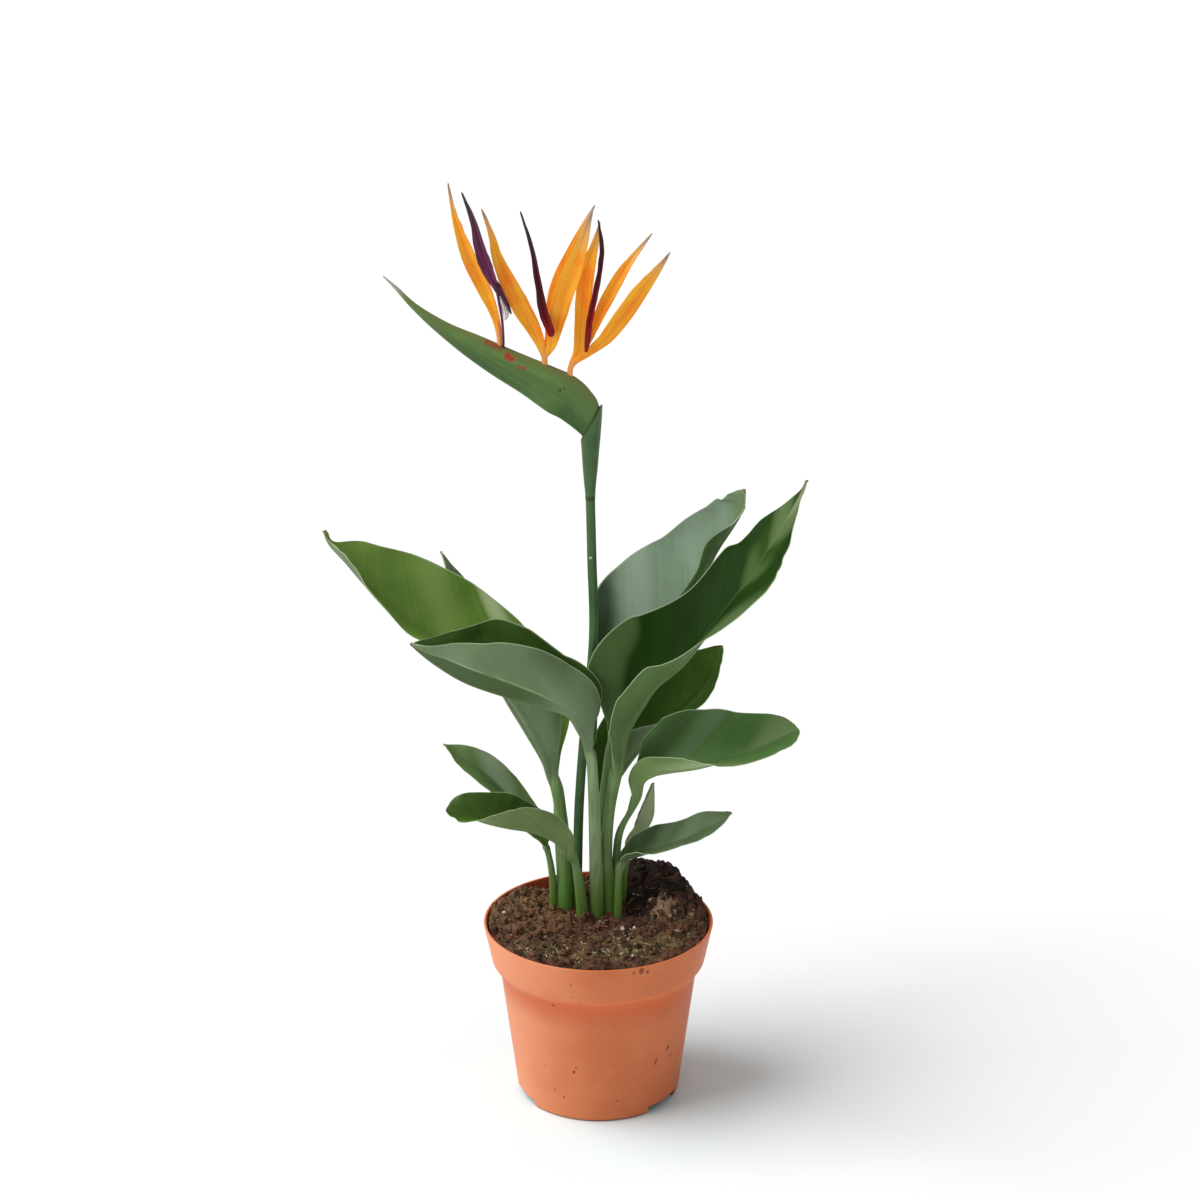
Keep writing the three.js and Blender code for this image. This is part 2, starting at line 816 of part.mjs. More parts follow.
const paint = (color, roughness) => new THREE.MeshStandardMaterial({ color, roughness, metalness: 0 });
const potPlastic = paint("#cf7750", 0.55);
const soilBrown = paint("#4a3526", 0.95);
const leafGreen = paint("#4d7a45", 0.45);
const stalkGreen = paint("#4c7a4f", 0.5);
const sepalOrange = paint("#f0932b", 0.5);
const petalPurple = paint("#4a1f3c", 0.45);

addPiece("pot", geometryOf(potSolid()), potPlastic);
addPiece("soil", geometryOf(soilSolid()), soilBrown);
addPiece("flower_stalk", loftGeometry(levelRings(stalkRows)), stalkGreen);
addPiece("stalk_sheath", geometryOf(sheathSolid()), stalkGreen);
addPiece("spathe", geometryOf(spatheSolid()), stalkGreen);

for (const leaf of leaves) addPiece(leaf.name, leafGeometry(leaf), leafGreen);
florets.forEach((floret, i) => {
  const [first, ...others] = floret.sepals.map((sepal) => solidOf(petalGeometry(sepal)));
  const sepals = others.reduce((sum, sepal) => sum.add(sepal), first);
  addPiece(`sepals_${i + 1}`, geometryOf(sepals), sepalOrange);
  addPiece(`petals_${i + 1}`, petalGeometry(floret.petal), petalPurple);
});

export default plant;
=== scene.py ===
import itertools
import math

import bpy
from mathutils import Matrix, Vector, noise


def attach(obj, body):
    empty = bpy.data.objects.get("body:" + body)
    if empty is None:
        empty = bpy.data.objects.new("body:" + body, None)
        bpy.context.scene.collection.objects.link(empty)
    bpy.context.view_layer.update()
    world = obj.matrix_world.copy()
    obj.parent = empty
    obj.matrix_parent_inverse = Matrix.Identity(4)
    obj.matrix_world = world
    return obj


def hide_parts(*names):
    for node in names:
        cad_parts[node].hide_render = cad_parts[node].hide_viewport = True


# Potted bird of paradise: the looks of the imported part. Lengths are in mm and turned into metres by newMesh.
mm = 0.001
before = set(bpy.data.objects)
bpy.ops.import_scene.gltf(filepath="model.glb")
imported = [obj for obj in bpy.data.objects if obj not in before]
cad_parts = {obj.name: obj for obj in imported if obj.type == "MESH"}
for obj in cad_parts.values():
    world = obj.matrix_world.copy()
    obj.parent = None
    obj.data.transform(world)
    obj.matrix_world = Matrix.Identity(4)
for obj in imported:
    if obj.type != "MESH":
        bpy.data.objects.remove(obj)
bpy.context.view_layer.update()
print("frame loaded:", len(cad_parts), "solids")


def srgb(red, green, blue):  # a colour, 0 to 255, as the linear values that Blender uses
    return tuple((c / 255) ** 2.2 for c in (red, green, blue))


def operator(operation, turned=False):  # turned puts the other value first, as in 1 - mask
    return lambda self, other: self.maths(operation, *((other, self) if turned else (self, other)))


class Signal:  # a shader value or vector; an expression on numbers adds its Math nodes
    __add__, __radd__ = operator("ADD"), operator("ADD", True)
    __sub__, __rsub__ = operator("SUBTRACT"), operator("SUBTRACT", True)
    __mul__, __rmul__ = operator("MULTIPLY"), operator("MULTIPLY", True)
    __truediv__ = operator("DIVIDE")
    __pow__ = operator("POWER")

    def __init__(self, paint, socket):
        self.paint = paint
        self.socket = socket

    def maths(self, operation, *values):
        return self.paint.node("Math", {"operation": operation}, dict(enumerate(values)))

    def size(self):
        return self.maths("ABSOLUTE", self)

    def rise(self, low, high):  # 0 below low, 1 above high and smooth between them; low may be the greater
        ends = {1: min(low, high), 2: max(low, high), 3: float(low > high), 4: float(low <= high)}
        return self.paint.node("MapRange", {"interpolation_type": "SMOOTHSTEP"}, {0: self, **ends})


class Paint:  # one material with its tones; a colour is a tone's name, a value or a signal
    def __init__(self, name, tones):
        self.material = bpy.data.materials.new(name)
        self.material.use_nodes = True
        self.nodes = self.material.node_tree.nodes
        self.links = self.material.node_tree.links
        self.shader = self.nodes["Principled BSDF"]
        self.tones = {key: srgb(*tone) for key, tone in tones.items()}

    def feed(self, socket, value):
        if isinstance(value, Signal):
            self.links.new(value.socket, socket)
        elif socket.type == "RGBA":
            socket.default_value = (*value, 1)
        else:
            socket.default_value = value

    def node(self, kind, settings, sockets, output=0):
        made = self.nodes.new("ShaderNode" + kind)
        for name, value in settings.items():
            setattr(made, name, value)
        for key, value in sockets.items():
            self.feed(made.inputs[key], value)
        return Signal(self, made.outputs[output])

    def mix(self, low, high, share):
        low, high = (self.tones.get(colour, colour) for colour in (low, high))
        return self.node("Mix", {"data_type": "RGBA"}, {0: share, 6: low, 7: high}, 2)

    def cover(self, colour, share):  # lays a colour over what is there
        self.colour = self.mix(self.colour, colour, share)

    def place(self):  # the piece's own coordinates, in mm
        inMetres = self.node("TexCoord", {}, {}, 3)
        return self.node("VectorMath", {"operation": "SCALE"}, {0: inMetres, "Scale": 1 / mm})

    def mark(self, name):  # the three values of a vector that the piece's points carry
        return self.parts(self.node("Attribute", {"attribute_name": name}, {}, 1))

    def parts(self, vector):
        return [self.node("SeparateXYZ", {}, {0: vector}, k) for k in range(3)]

    def vector(self, x, y, z):
        return self.node("CombineXYZ", {}, {0: x, 1: y, 2: z})

    def stretched(self, vector, *scales):
        return self.node("VectorMath", {"operation": "MULTIPLY"}, {0: vector, 1: scales})

    def clouds(self, vector, scale, detail=3.0, roughness=0.5):
        sockets = {"Vector": vector, "Scale": scale, "Detail": detail, "Roughness": roughness}
        return self.node("TexNoise", {}, sockets)

    def away(self, vector, point):  # distance from a point
        return self.node("VectorMath", {"operation": "DISTANCE"}, {0: vector, 1: point}, 1)

    def bump(self, height, depth, strength):  # depth in mm
        return self.node("Bump", {}, {"Height": height, "Distance": depth * mm, "Strength": strength})

    def finish(self, **sockets):  # sockets of the main shader, with _ for a space
        for name, value in {"Base_Color": self.colour, **sockets}.items():
            self.feed(self.shader.inputs[name.replace("_", " ")], value)
        return self.material


def addObject(name, data):
    made = bpy.data.objects.new(name, data)
    bpy.context.scene.collection.objects.link(made)
    return made


def newMesh(name, points, faces, materials, marks=None, sharp=50):
    mesh = bpy.data.meshes.new(name)
    mesh.from_pydata([[c * mm for c in p] for p in points], [], faces)
    for key, values in (marks or {}).items():
        layer = mesh.attributes.new(key, "FLOAT_VECTOR", "POINT")
        layer.data.foreach_set("vector", [c for value in values for c in value])
    for material in materials:
        mesh.materials.append(material)
    mesh.shade_smooth()
    mesh.set_sharp_from_angle(angle=math.radians(sharp))
    return addObject(name, mesh)


def rides(piece, slot, *nodes):  # a finished piece, its material slot, which is not used, and the solids it stands for
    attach(piece, "root")
    if nodes:
        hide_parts(*nodes)


def lerp(a, b, t):
    return a + (b - a) * t


def clamp(value, low, high):
    return min(max(value, low), high)


def smoothstep(t, low, high):
    u = clamp((t - low) / (high - low), 0, 1)
    return u * u * (3 - 2 * u)


def around(count):  # evenly spaced turns
    return [2 * math.pi * k / count for k in range(count)]


def rowAt(rows, t):  # a smooth value between rows: each column is eased through its four nearest rows
    i = min(int(t), len(rows) - 2)
    u = t - i
    near = [rows[clamp(k, 0, len(rows) - 1)] for k in (i - 1, i, i + 1, i + 2)]
    return [
        0.5 * (2 * b + u * (c - a + u * (2 * a - 5 * b + 4 * c - d + u * (3 * b - a - 3 * c + d))))
        for a, b, c, d in zip(*near)
    ]


def skin(rings):  # joins rings of points into a closed surface; each ring's halves face each other
    n = len(rings[0])
    points = [p for ring in rings for p in ring]
    faces = []
    for i in range(len(rings) - 1):
        for k in range(n):
            nextK = (k + 1) % n
            faces.append((i * n + k, (i + 1) * n + k, (i + 1) * n + nextK, i * n + nextK))
    last = (len(rings) - 1) * n
    for k in range(n // 2 - 1):
        a, b, c, d = k, k + 1, n - 2 - k, n - 1 - k
        faces.append((a, b, c, d))
        faces.append((last + a, last + d, last + c, last + b))
    return points, faces


# The leaves, with the rows of the part's source: heading in degrees, the root's x, y and radius, the stalk's
# x, y, z and radius, and the blade's x, y, z, widths of its left and right halves and their folds.
leaves = [
    {
        "name": "leaf_01", "heading": 172, "flare": 1.4, "root": [-20.8, 22.5, 4.4],
        "stalk": [[-20.9, 23, 148, 4.4], [-24.4, 24, 184, 3.8]],
        "blade": [
            [-30, 25, 205, 7, 8, 70, 60], [-39, 27, 224, 19, 27, 98, 60], [-52, 29, 246, 30, 30, 80, 60],
            [-70, 32, 263, 36, 38, 56, 62], [-103, 37, 283, 36, 43, 17.5, 66],
            [-134, 41.7, 308.5, 27, 33, 21, 63], [-151, 43.5, 328, 16, 17, 24, 58],
            [-160.5, 44.6, 338.5, 3.5, 3, 24, 40], [-164, 45, 347, 1, 1, 10, 10],
        ],
        "cup": 0.35, "wave": [1.5, 2.5, 0],
    },
    {
        "name": "leaf_02", "heading": 178, "flare": 1.15, "root": [-1, 13, 4],
        "stalk": [[-1.8, 8, 160, 3.9], [-3.8, 4, 212, 3.1]],
        "blade": [
            [-6.5, 3, 226, 4, 7, 70, 50], [-11, 1, 237, 10, 16, 88, 50], [-18, -2, 248, 25, 29, 98, 70],
            [-32, -4.5, 254, 32.5, 34, 94, 74], [-54, -8, 262, 37.5, 43, 82, 66],
            [-78, -11, 272, 33, 41.5, 78, 60], [-97, -13, 285, 19, 22, 76, 54],
            [-110, -14, 297, 1, 1, 40, 40],
        ],
        "cup": 0.35, "wave": [1.2, 2, 1],
    },
    {
        "name": "leaf_03", "heading": 20, "root": [-2, 26, 3.4],
        "stalk": [[1, 24, 160, 3], [6, 23.5, 206, 2.8]],
        "blade": [
            [9.5, 25.5, 231, 4, 6, 50, 70], [13, 28.5, 245, 9, 9, 50, 80], [20, 31, 263, 29, 10, 54, 85],
            [35, 32, 282, 48, 8, 52, 88], [50, 33, 304, 45, 5, 50, 90], [62.5, 34, 323, 36, 5, 50, 94],
            [71, 35, 339, 28, 8, 50, 96], [80, 36, 353, 20.5, 4, 50, 64], [85.5, 37, 363, 16.5, 3, 51, 6],
            [86.5, 37, 370.5, 10.5, 2.5, 50, 0], [86.5, 37, 375.5, 2.5, 1, 40, 0],
        ],
        "cup": 0.3, "wave": [1.1, 2, 0.5],
    },
    {
        "name": "leaf_04", "heading": 8, "flare": 1.15, "root": [6.8, 16, 3.7],
        "stalk": [[4.8, 14.4, 152, 3.7], [8.2, 10.6, 190, 3.4]],
        "blade": [
            [14, 6, 224, 9, 8, 40, 50], [17, 5, 235, 18, 17, 56, 50], [25.5, 4, 251, 38, 22, 74, 60],
            [34, 3, 264, 43, 24, 66, 51], [50, 2, 279, 40, 40, 60, 32], [69, 2, 305, 27, 36, 45, 14],
            [90, 2, 333, 28, 28, 35, -2], [98, 3, 347, 20, 23.5, 27, -7],
            [106, 4, 360, 18.5, 17.5, 20, -11], [117, 6, 381, 6, 6, 8, -10], [120.9, 6, 391, 1, 1, 0, 0],
        ],
        "cup": 0.3, "wave": [1.5, 2.5, 0.2],
    },
    {
        "name": "leaf_05", "heading": 170, "root": [-22, 31, 3.2],
        "stalk": [[-24.5, 32, 160, 2.8], [-26, 32, 184, 2.6]],
        "blade": [
            [-33, 42, 199.2, 8, 8, 60, 60], [-45, 50, 217.4, 16, 16, 60, 60],
            [-60.3, 61, 240.5, 20, 20, 45, 40], [-77.4, 71, 277.7, 19, 19, 25, 20],
            [-89.5, 79, 305.9, 10, 10, 10, 10], [-96.5, 83, 321, 1, 1, 10, 10],
        ],
        "cup": 0.3, "wave": [1, 2, 0],
    },
    {
        "name": "leaf_06", "heading": 25, "root": [4, 33, 3.2], "stalk": [[4, 33, 150, 2.8]],
        "blade": [
            [9, 35, 183, 12, 7, 60, 80], [16, 36.5, 197, 24, 16, 60, 96], [27, 37.5, 211, 30, 20, 58, 80],
            [42, 38.5, 226, 30, 18, 54, 46], [58, 41, 240, 30, 18, 50, 14], [68, 44, 252, 26, 9, 46, 0],
            [72.5, 46, 263, 18, 4, 38, 0], [74.5, 47, 273, 2, 2, 10, 10],
        ],
        "cup": 0.3, "wave": [1, 2, 0],
    },
    {
        "name": "leaf_07", "heading": 0, "root": [11, 22.5, 2.6],
        "stalk": [[12, 18, 157, 2.2], [20, 16, 178, 2]],
        "blade": [
            [26, 11.5, 197.5, 8, 9, 40, 84], [33, 8, 204.5, 22, 15.5, 60, 66],
            [43, 5, 208, 32.5, 21, 66, 49], [57.9, 3, 211, 36, 25, 64, 38],
            [72.9, 2, 215.2, 33.5, 28, 62, 20], [88.9, 1, 220.2, 28.5, 25, 60, 9],
            [107, 1, 229.2, 18.3, 18.5, 60, 0], [116, 1, 234, 11, 11, 58, -4],
            [119.8, 1, 236.4, 3, 3, 30, 0],
        ],
        "cup": 0.3, "wave": [1, 2, 0],
    },
    {
        "name": "leaf_08", "heading": 176, "root": [-27.6, 19.2, 2.2],
        "stalk": [[-28.5, 19.7, 134, 1.9], [-31.2, 22, 148, 1.8]],
        "blade": [
            [-33, 22, 153, 5, 4, 0, 40], [-39, 24, 163, 9, 8, -14, 60], [-49, 26, 175, 14, 10, -10, 68],
            [-60, 28, 187, 16, 12, -3, 70], [-72, 28, 199, 13, 12, -6, 64], [-84, 28, 208, 8, 8, -12, 60],
            [-94, 28, 216, 1, 1, 0, 10],
        ],
        "cup": 0.3, "wave": [0.7, 2, 0],
    },
    {
        "name": "leaf_09", "heading": 182, "root": [-10, 10, 3.6],
        "stalk": [[-12, 8, 134, 3], [-15, 5, 150, 2.6]],
        "blade": [
            [-21, 2, 160, 9, 9, 80, 20], [-29, 0, 167, 13, 13, 100, 32], [-41, -3, 173, 16, 16, 84, 48],
            [-54, -5, 176, 17, 20, 64, 64], [-67, -7, 180, 15, 19, 40, 62], [-81, -8, 185.6, 11, 14, 0, 56],
            [-88.6, -9, 188.3, 6.5, 8, -4, 30], [-91.3, -9, 189, 2.5, 2.5, 0, 10],
        ],
        "cup": 0.3, "wave": [0.7, 2, 0],
    },
    {
        "name": "leaf_10", "heading": 0, "root": [12, 9.5, 2.4], "stalk": [[12.4, 9.8, 138.8, 2.1]],
        "blade": [
            [16, 11, 147, 7, 7, 30, 24], [25, 8, 152, 12, 12, 70, 34], [38, 4, 157.5, 15, 15, 64, 20],
            [54, 0, 166, 12, 13, 60, 8], [68, -4, 175.5, 10.5, 8, 56, -6], [80, -6, 185.6, 1.5, 1.5, 10, 0],
        ],
        "cup": 0.3, "wave": [0.7, 2, 0],
    },
    {
        "name": "leaf_11", "heading": 10, "root": [15, 28, 2.2], "stalk": [[17, 28, 138, 1.8]],
        "blade": [
            [20, 28, 150, 4, 4, 80, 80], [27.6, 28, 158, 7, 7, 80, 80], [32.6, 28, 168, 8.5, 8.5, 80, 80],
            [33.4, 28, 179, 5.5, 5.5, 75, 75], [33.3, 28, 190.5, 1, 1, 30, 30],
        ],
        "cup": 0.3, "wave": [0.3, 1, 0],
    },
]

# How every blade is built, and what leaves have of their own. Ends are shares of the blade's length.
bladeBuild = {
    "ribEnd": 0.5,
    "ribDepth": 0.9,
    "ribShares": (0.05, 0.25),  # the least and the most of a half's width that the midrib takes
    "roundDepth": 0.9,
    "split": 4,
    "thinning": 5,  # the power by which a half thins and ruffles toward its margin
    "pinch": 0.75,
    "pinchFrom": 0.965,
    "unevenWaves": (2.2, 2),
    "ruffleWaves": (2.9, 3),
    "ruffleEnds": (0.8, 0.95),
    "ruffleSeed": 7,
}
leafBuild = {
    **bladeBuild,
    "thickness": 0.8,
    "marginThickness": 0.35,
    "channel": 0.35,  # depth of the groove over the midrib, as a share of its radius
    "shares": (0.33, 0.66, 1.0),
    "steps": 10,
    "uneven": 0.9,
    "ruffle": 0.45,
    "socketFloor": 83,
    "rootTop": 114,
    "veinLean": 1.2,
    "veinBow": 3,
}


def fineShares(ribShare, shares, split):
    ends = [0, ribShare, *shares]
    half = [lerp(a, b, k / split) for a, b in zip(ends, ends[1:]) for k in range(1, split + 1)]
    return [-s for s in reversed(half)] + [0] + half


def leafAxes(leaf, rows, t, reach=0.02):
    ahead = Vector(rowAt(rows, min(t + reach, len(rows) - 1))[:3])
    behind = Vector(rowAt(rows, max(t - reach, 0))[:3])
    along = (ahead - behind).normalized()
    heading = math.radians(leaf["heading"])
    side = Vector((-math.sin(heading), math.cos(heading), 0))
    side = (side - along * side.dot(along)).normalized()
    return side, along.cross(side)


def marginRipple(leaf, build, share, t, tipped):  # waves, bumps and ruffles that grow toward the margin
    size, count, phase = leaf["wave"]
    heading = leaf["heading"]
    (unevenAlong, unevenAcross), (ruffleAlong, ruffleAcross) = build["unevenWaves"], build["ruffleWaves"]
    ripple = size * share * share * math.sin(2 * math.pi * (count * tipped + phase) + share)
    bumps = noise.noise((unevenAlong * t, unevenAcross * share, heading))
    ruffles = noise.noise((ruffleAlong * t, ruffleAcross * share, heading + build["ruffleSeed"]))
    edge = build["ruffle"] * abs(share) ** build["thinning"] * (1 - smoothstep(tipped, *build["ruffleEnds"]))
    return ripple + build["uneven"] * share * share * bumps + edge * ruffles


# Where a point of a half lies, across and above the midrib: the half leans by its fold and bends by its cup.
def halfPoint(leaf, build, rib, ribShare, share, face, width, fold, ripple):
    bend = leaf["cup"] * fold * abs(share)
    lean = fold * (1 - leaf["cup"]) + bend
    reach = abs(share) * width * (math.sin(bend) / bend if bend else 1)
    near = min(abs(share) / ribShare, 1)
    facing = (fold * (1 - leaf["cup"]) + 2 * bend) * near
    keel = math.sin(math.pi / 2 * (1 - near))
    bulge = build["ribDepth"] * rib * keel if face < 0 else -build["channel"] * rib * keel * keel
    thin = lerp(build["thickness"], build["marginThickness"], abs(share) ** build["thinning"])
    offset = face * (thin / 2 + bulge) + ripple
    sign = (share > 0) - (share < 0)
    across = sign * (reach * math.cos(lean) - offset * math.sin(facing))
    return across, reach * math.sin(lean) + offset * math.cos(facing)


# One ring across a leaf: a round stalk that opens into two halves folded up from the midrib.
def leafRing(leaf, build, rows, t, opened, tipped):
    x, y, z, leftWidth, rightWidth, left, right = rowAt(rows, t)
    side, above = leafAxes(leaf, rows, t)
    rib = lerp(leaf["rib"], build["ribEnd"], tipped)
    ribShare = clamp(rib / max(leftWidth, rightWidth, build["ribEnd"]), *build["ribShares"])
    shares = fineShares(ribShare, build["shares"], build["split"])
    point = 1 - build["pinch"] * smoothstep(tipped, build["pinchFrom"], 1)
    ring, marks = [], []
    for face in (1, -1):
        points, kept = [], []
        for j, share in enumerate(shares):
            width = max(leftWidth if share > 0 else rightWidth, build["ribEnd"]) * point
            turn = math.pi * j / (len(shares) - 1)
            bulge = build["roundDepth"] * width * math.sin(turn) + build["thickness"] / 2
            stalk = (-width * math.cos(turn), face * bulge)
            fold = math.radians(left if share > 0 else right)
            ripple = marginRipple(leaf, build, share, t, tipped)
            blade = halfPoint(leaf, build, rib, ribShare, share, face, width, fold, ripple)
            across, up = (lerp(a, b, opened) for a, b in zip(stalk, blade))
            points.append(Vector((x, y, z)) + side * across + above * up)
            kept.append((share * width, share, face))
        ring += points[::face]
        marks += kept[::face]
    return ring, marks


def loftBlade(leaf, build, rows, start):
    end = len(rows) - 1
    rings, places, forms = [], [], []
    travelled = 0
    before = None
    for i in range(end * build["steps"] + 1):
        t = i / build["steps"]
        opened = smoothstep(t, start, start + 1)
        tipped = clamp((t - start) / (end - start), 0, 1)
        here = Vector(rowAt(rows, t)[:3])
        travelled += (here - before).length if before else 0
        before = here
        ring, marks = leafRing(leaf, build, rows, t, opened, tipped)
        rings.append(ring)
        places += [(across, travelled, share) for across, share, face in marks]
        forms += [(opened, tipped, face) for across, share, face in marks]
    points, faces = skin(rings)
    return points, faces, places, forms


def leafPiece(leaf, seed):
    name = leaf["name"]
    x, y, radius = leaf["root"]
    folds = leaf["blade"][0][5:]
    floor, top = leafBuild["socketFloor"], leafBuild["rootTop"]
    foot = [[x, y, z, radius * leaf.get("flare", 1)] for z in (floor, (floor + top) / 2, top)]
    stalk = foot + leaf["stalk"]
    rows = [[*row, row[3], *folds] for row in stalk] + leaf["blade"]
    points, faces, places, forms = loftBlade({**leaf, "rib": stalk[-1][3]}, leafBuild, rows, len(stalk) - 1)
    spots = [washOn(points, places, *wash) for wash in sheenAndShadeWashes.get(name, ())]
    tones = {**leafTones, **tonesAndShadeByLeaf.get(name, {})}
    material = leafPaint(name + "_green", tones, {**leafFinish, **ownFinish.get(name, {})}, seed, spots)
    piece = newMesh(name + "_blade", points, faces, [material], {"bladePlace": places, "bladeForm": forms})
    rides(piece, "leaf", name)


def washOn(points, places, middle, reach, spread, tone, strength):  # a wash, placed on the leaf's own marks
    nearest = min(range(len(points)), key=lambda k: (points[k] - Vector(middle)).length_squared)
    across, along, share = places[nearest]
    return veinAt(along, abs(across), share), share, reach, spread, tone, strength


def veinAt(along, across, share):  # the same all along a side vein, which bends toward the leaf's tip
    return along - leafBuild["veinLean"] * across - leafBuild["veinBow"] * share * share


leafTones = {
    "face": (92, 122, 60), "deep": (60, 88, 36), "back": (116, 138, 102), "backDeep": (94, 115, 78),
    "rib": (138, 162, 104), "margin": (176, 198, 152), "stalk": (124, 150, 98), "stalkDeep": (92, 118, 70),
    "foot": (100, 134, 54), "tip": (122, 106, 86), "creaseShade": (68, 90, 48),
}
leafFinish = {
    "gloss": 0.42,
    "shine": 0.25,
    "ribShare": 0.14,
    "crease": 0,
    "fineVeins": (0.3, 0.012),  # scales of the streaks along and across the side veins
    "broadVeins": (0.05, 0.02),
    "patches": 0.03,
    "marginEnds": (0.975, 0.996),
    "washEdge": (2.1, -0.2),
    "washUneven": 0.9,
    "ownHalf": 0.15,  # a wash whose middle is farther out than this share stays on its own half
}
# What some leaves have of their own, with painted shade in some tones: leaf_03's dark back, and the dark faces
# of leaf_04 and leaf_06.
tonesAndShadeByLeaf = {
    "leaf_01": {
        "face": (120, 152, 68), "deep": (94, 128, 50), "foot": (104, 152, 66), "stalk": (136, 166, 106),
        "stalkDeep": (100, 134, 74),
    },
    "leaf_02": {
        "face": (74, 108, 40), "deep": (58, 86, 34), "backDeep": (100, 122, 84), "stalk": (142, 164, 122),
        "stalkDeep": (106, 132, 84),
    },
    # leaf_03's dark back tones are painted shade
    "leaf_03": {
        "face": (138, 162, 136), "deep": (114, 138, 108), "back": (58, 92, 24), "backDeep": (40, 68, 14),
    },
    # leaf_04's dark face tones are painted shade
    "leaf_04": {
        "face": (34, 64, 6), "deep": (26, 50, 4), "back": (100, 126, 82), "backDeep": (84, 110, 64),
    },
    "leaf_05": {"face": (96, 120, 76), "deep": (72, 96, 52)},
    # leaf_06's darker face tones are painted shade
    "leaf_06": {"face": (72, 102, 40), "deep": (54, 82, 26)},
    "leaf_07": {
        "face": (104, 144, 80), "deep": (82, 120, 58), "back": (124, 150, 94), "backDeep": (100, 126, 70),
    },
    "leaf_08": {"face": (116, 144, 92), "deep": (94, 122, 70)},
    "leaf_09": {
        "face": (72, 102, 36), "deep": (58, 86, 28), "back": (118, 138, 90), "backDeep": (100, 120, 72),
    },
    "leaf_10": {"face": (104, 124, 90), "deep": (72, 92, 58)},
    "leaf_11": {
        "face": (160, 174, 132), "deep": (134, 150, 106), "back": (160, 174, 132),
        "backDeep": (134, 150, 106),
    },
}
ownFinish = {
    "leaf_02": {"crease": 0.42}, "leaf_03": {"gloss": 0.36, "shine": 0.4},
    "leaf_04": {"gloss": 0.5, "shine": 0.1}, "leaf_06": {"gloss": 0.5, "shine": 0.12},
    "leaf_07": {"gloss": 0.34},
}
# Washes: painted sheen and painted shade, soft lighter and darker places that follow the side veins, each with
# its middle, its reach along the leaf in mm and across it as a share of the half's width, its tone and its
# strength.
sheenAndShadeWashes = {
    "leaf_01": (
        ((-62, 47, 299), 8, 0.45, (206, 222, 170), 0.9), ((-50, 46, 294), 5, 0.6, (138, 168, 84), 0.6),
        ((-82, 48, 307), 7, 0.7, (92, 132, 50), 0.5), ((-100, 52, 318), 14, 0.8, (138, 166, 92), 0.6),
        ((-124, 50, 322), 9, 0.8, (98, 132, 58), 0.5),
    ),
    "leaf_02": (
        ((-8, -4, 262), 14, 1.0, (96, 114, 84), 0.7), ((-48, -14, 281), 9, 0.8, (102, 124, 86), 0.5),
        ((-84, -20, 290), 12, 0.8, (126, 144, 116), 0.6),
    ),
    "leaf_03": (
        ((3, 46, 302), 15, 1.0, (34, 54, 22), 0.92), ((25, 45, 309), 14, 1.0, (166, 188, 166), 0.5),
        ((44, 46, 328), 7, 0.8, (118, 142, 116), 0.5), ((61, 43, 346), 9, 0.8, (130, 152, 126), 0.6),
        ((85, 37.5, 366), 15, 1.6, (106, 130, 84), 0.8),
    ),
    "leaf_04": (
        ((10, 15, 295), 19, 0.8, (96, 120, 80), 0.7), ((1, 11, 277), 20, 0.7, (80, 108, 58), 0.75),
        ((90, 2, 334), 10, 0.5, (80, 104, 58), 0.75), ((98, 2, 347), 9, 0.6, (58, 86, 30), 0.5),
        ((108, 2, 363), 13, 1.8, (98, 120, 76), 0.8), ((117, 5, 380), 11, 1.8, (132, 140, 100), 0.9),
        ((74, -28, 314), 30, 0.6, (88, 112, 70), 0.85),
    ),
    "leaf_07": (
        ((109, 4, 235), 16, 1.4, (130, 154, 100), 0.8), ((38, 13, 222), 11, 1.0, (62, 88, 44), 0.7),
        ((61, 13, 228), 8, 0.7, (112, 144, 106), 0.6), ((84, 8, 230), 12, 0.7, (74, 120, 54), 0.5),
        ((60, -14, 207), 22, 0.8, (146, 172, 118), 0.8),
    ),
    "leaf_08": (((-60, 29, 192), 14, 1.0, (166, 186, 154), 0.75),),
    "leaf_10": (((56, 2, 172), 9, 0.8, (120, 140, 106), 0.6), ((26, 9, 160), 9, 1.0, (52, 74, 36), 0.8)),
}


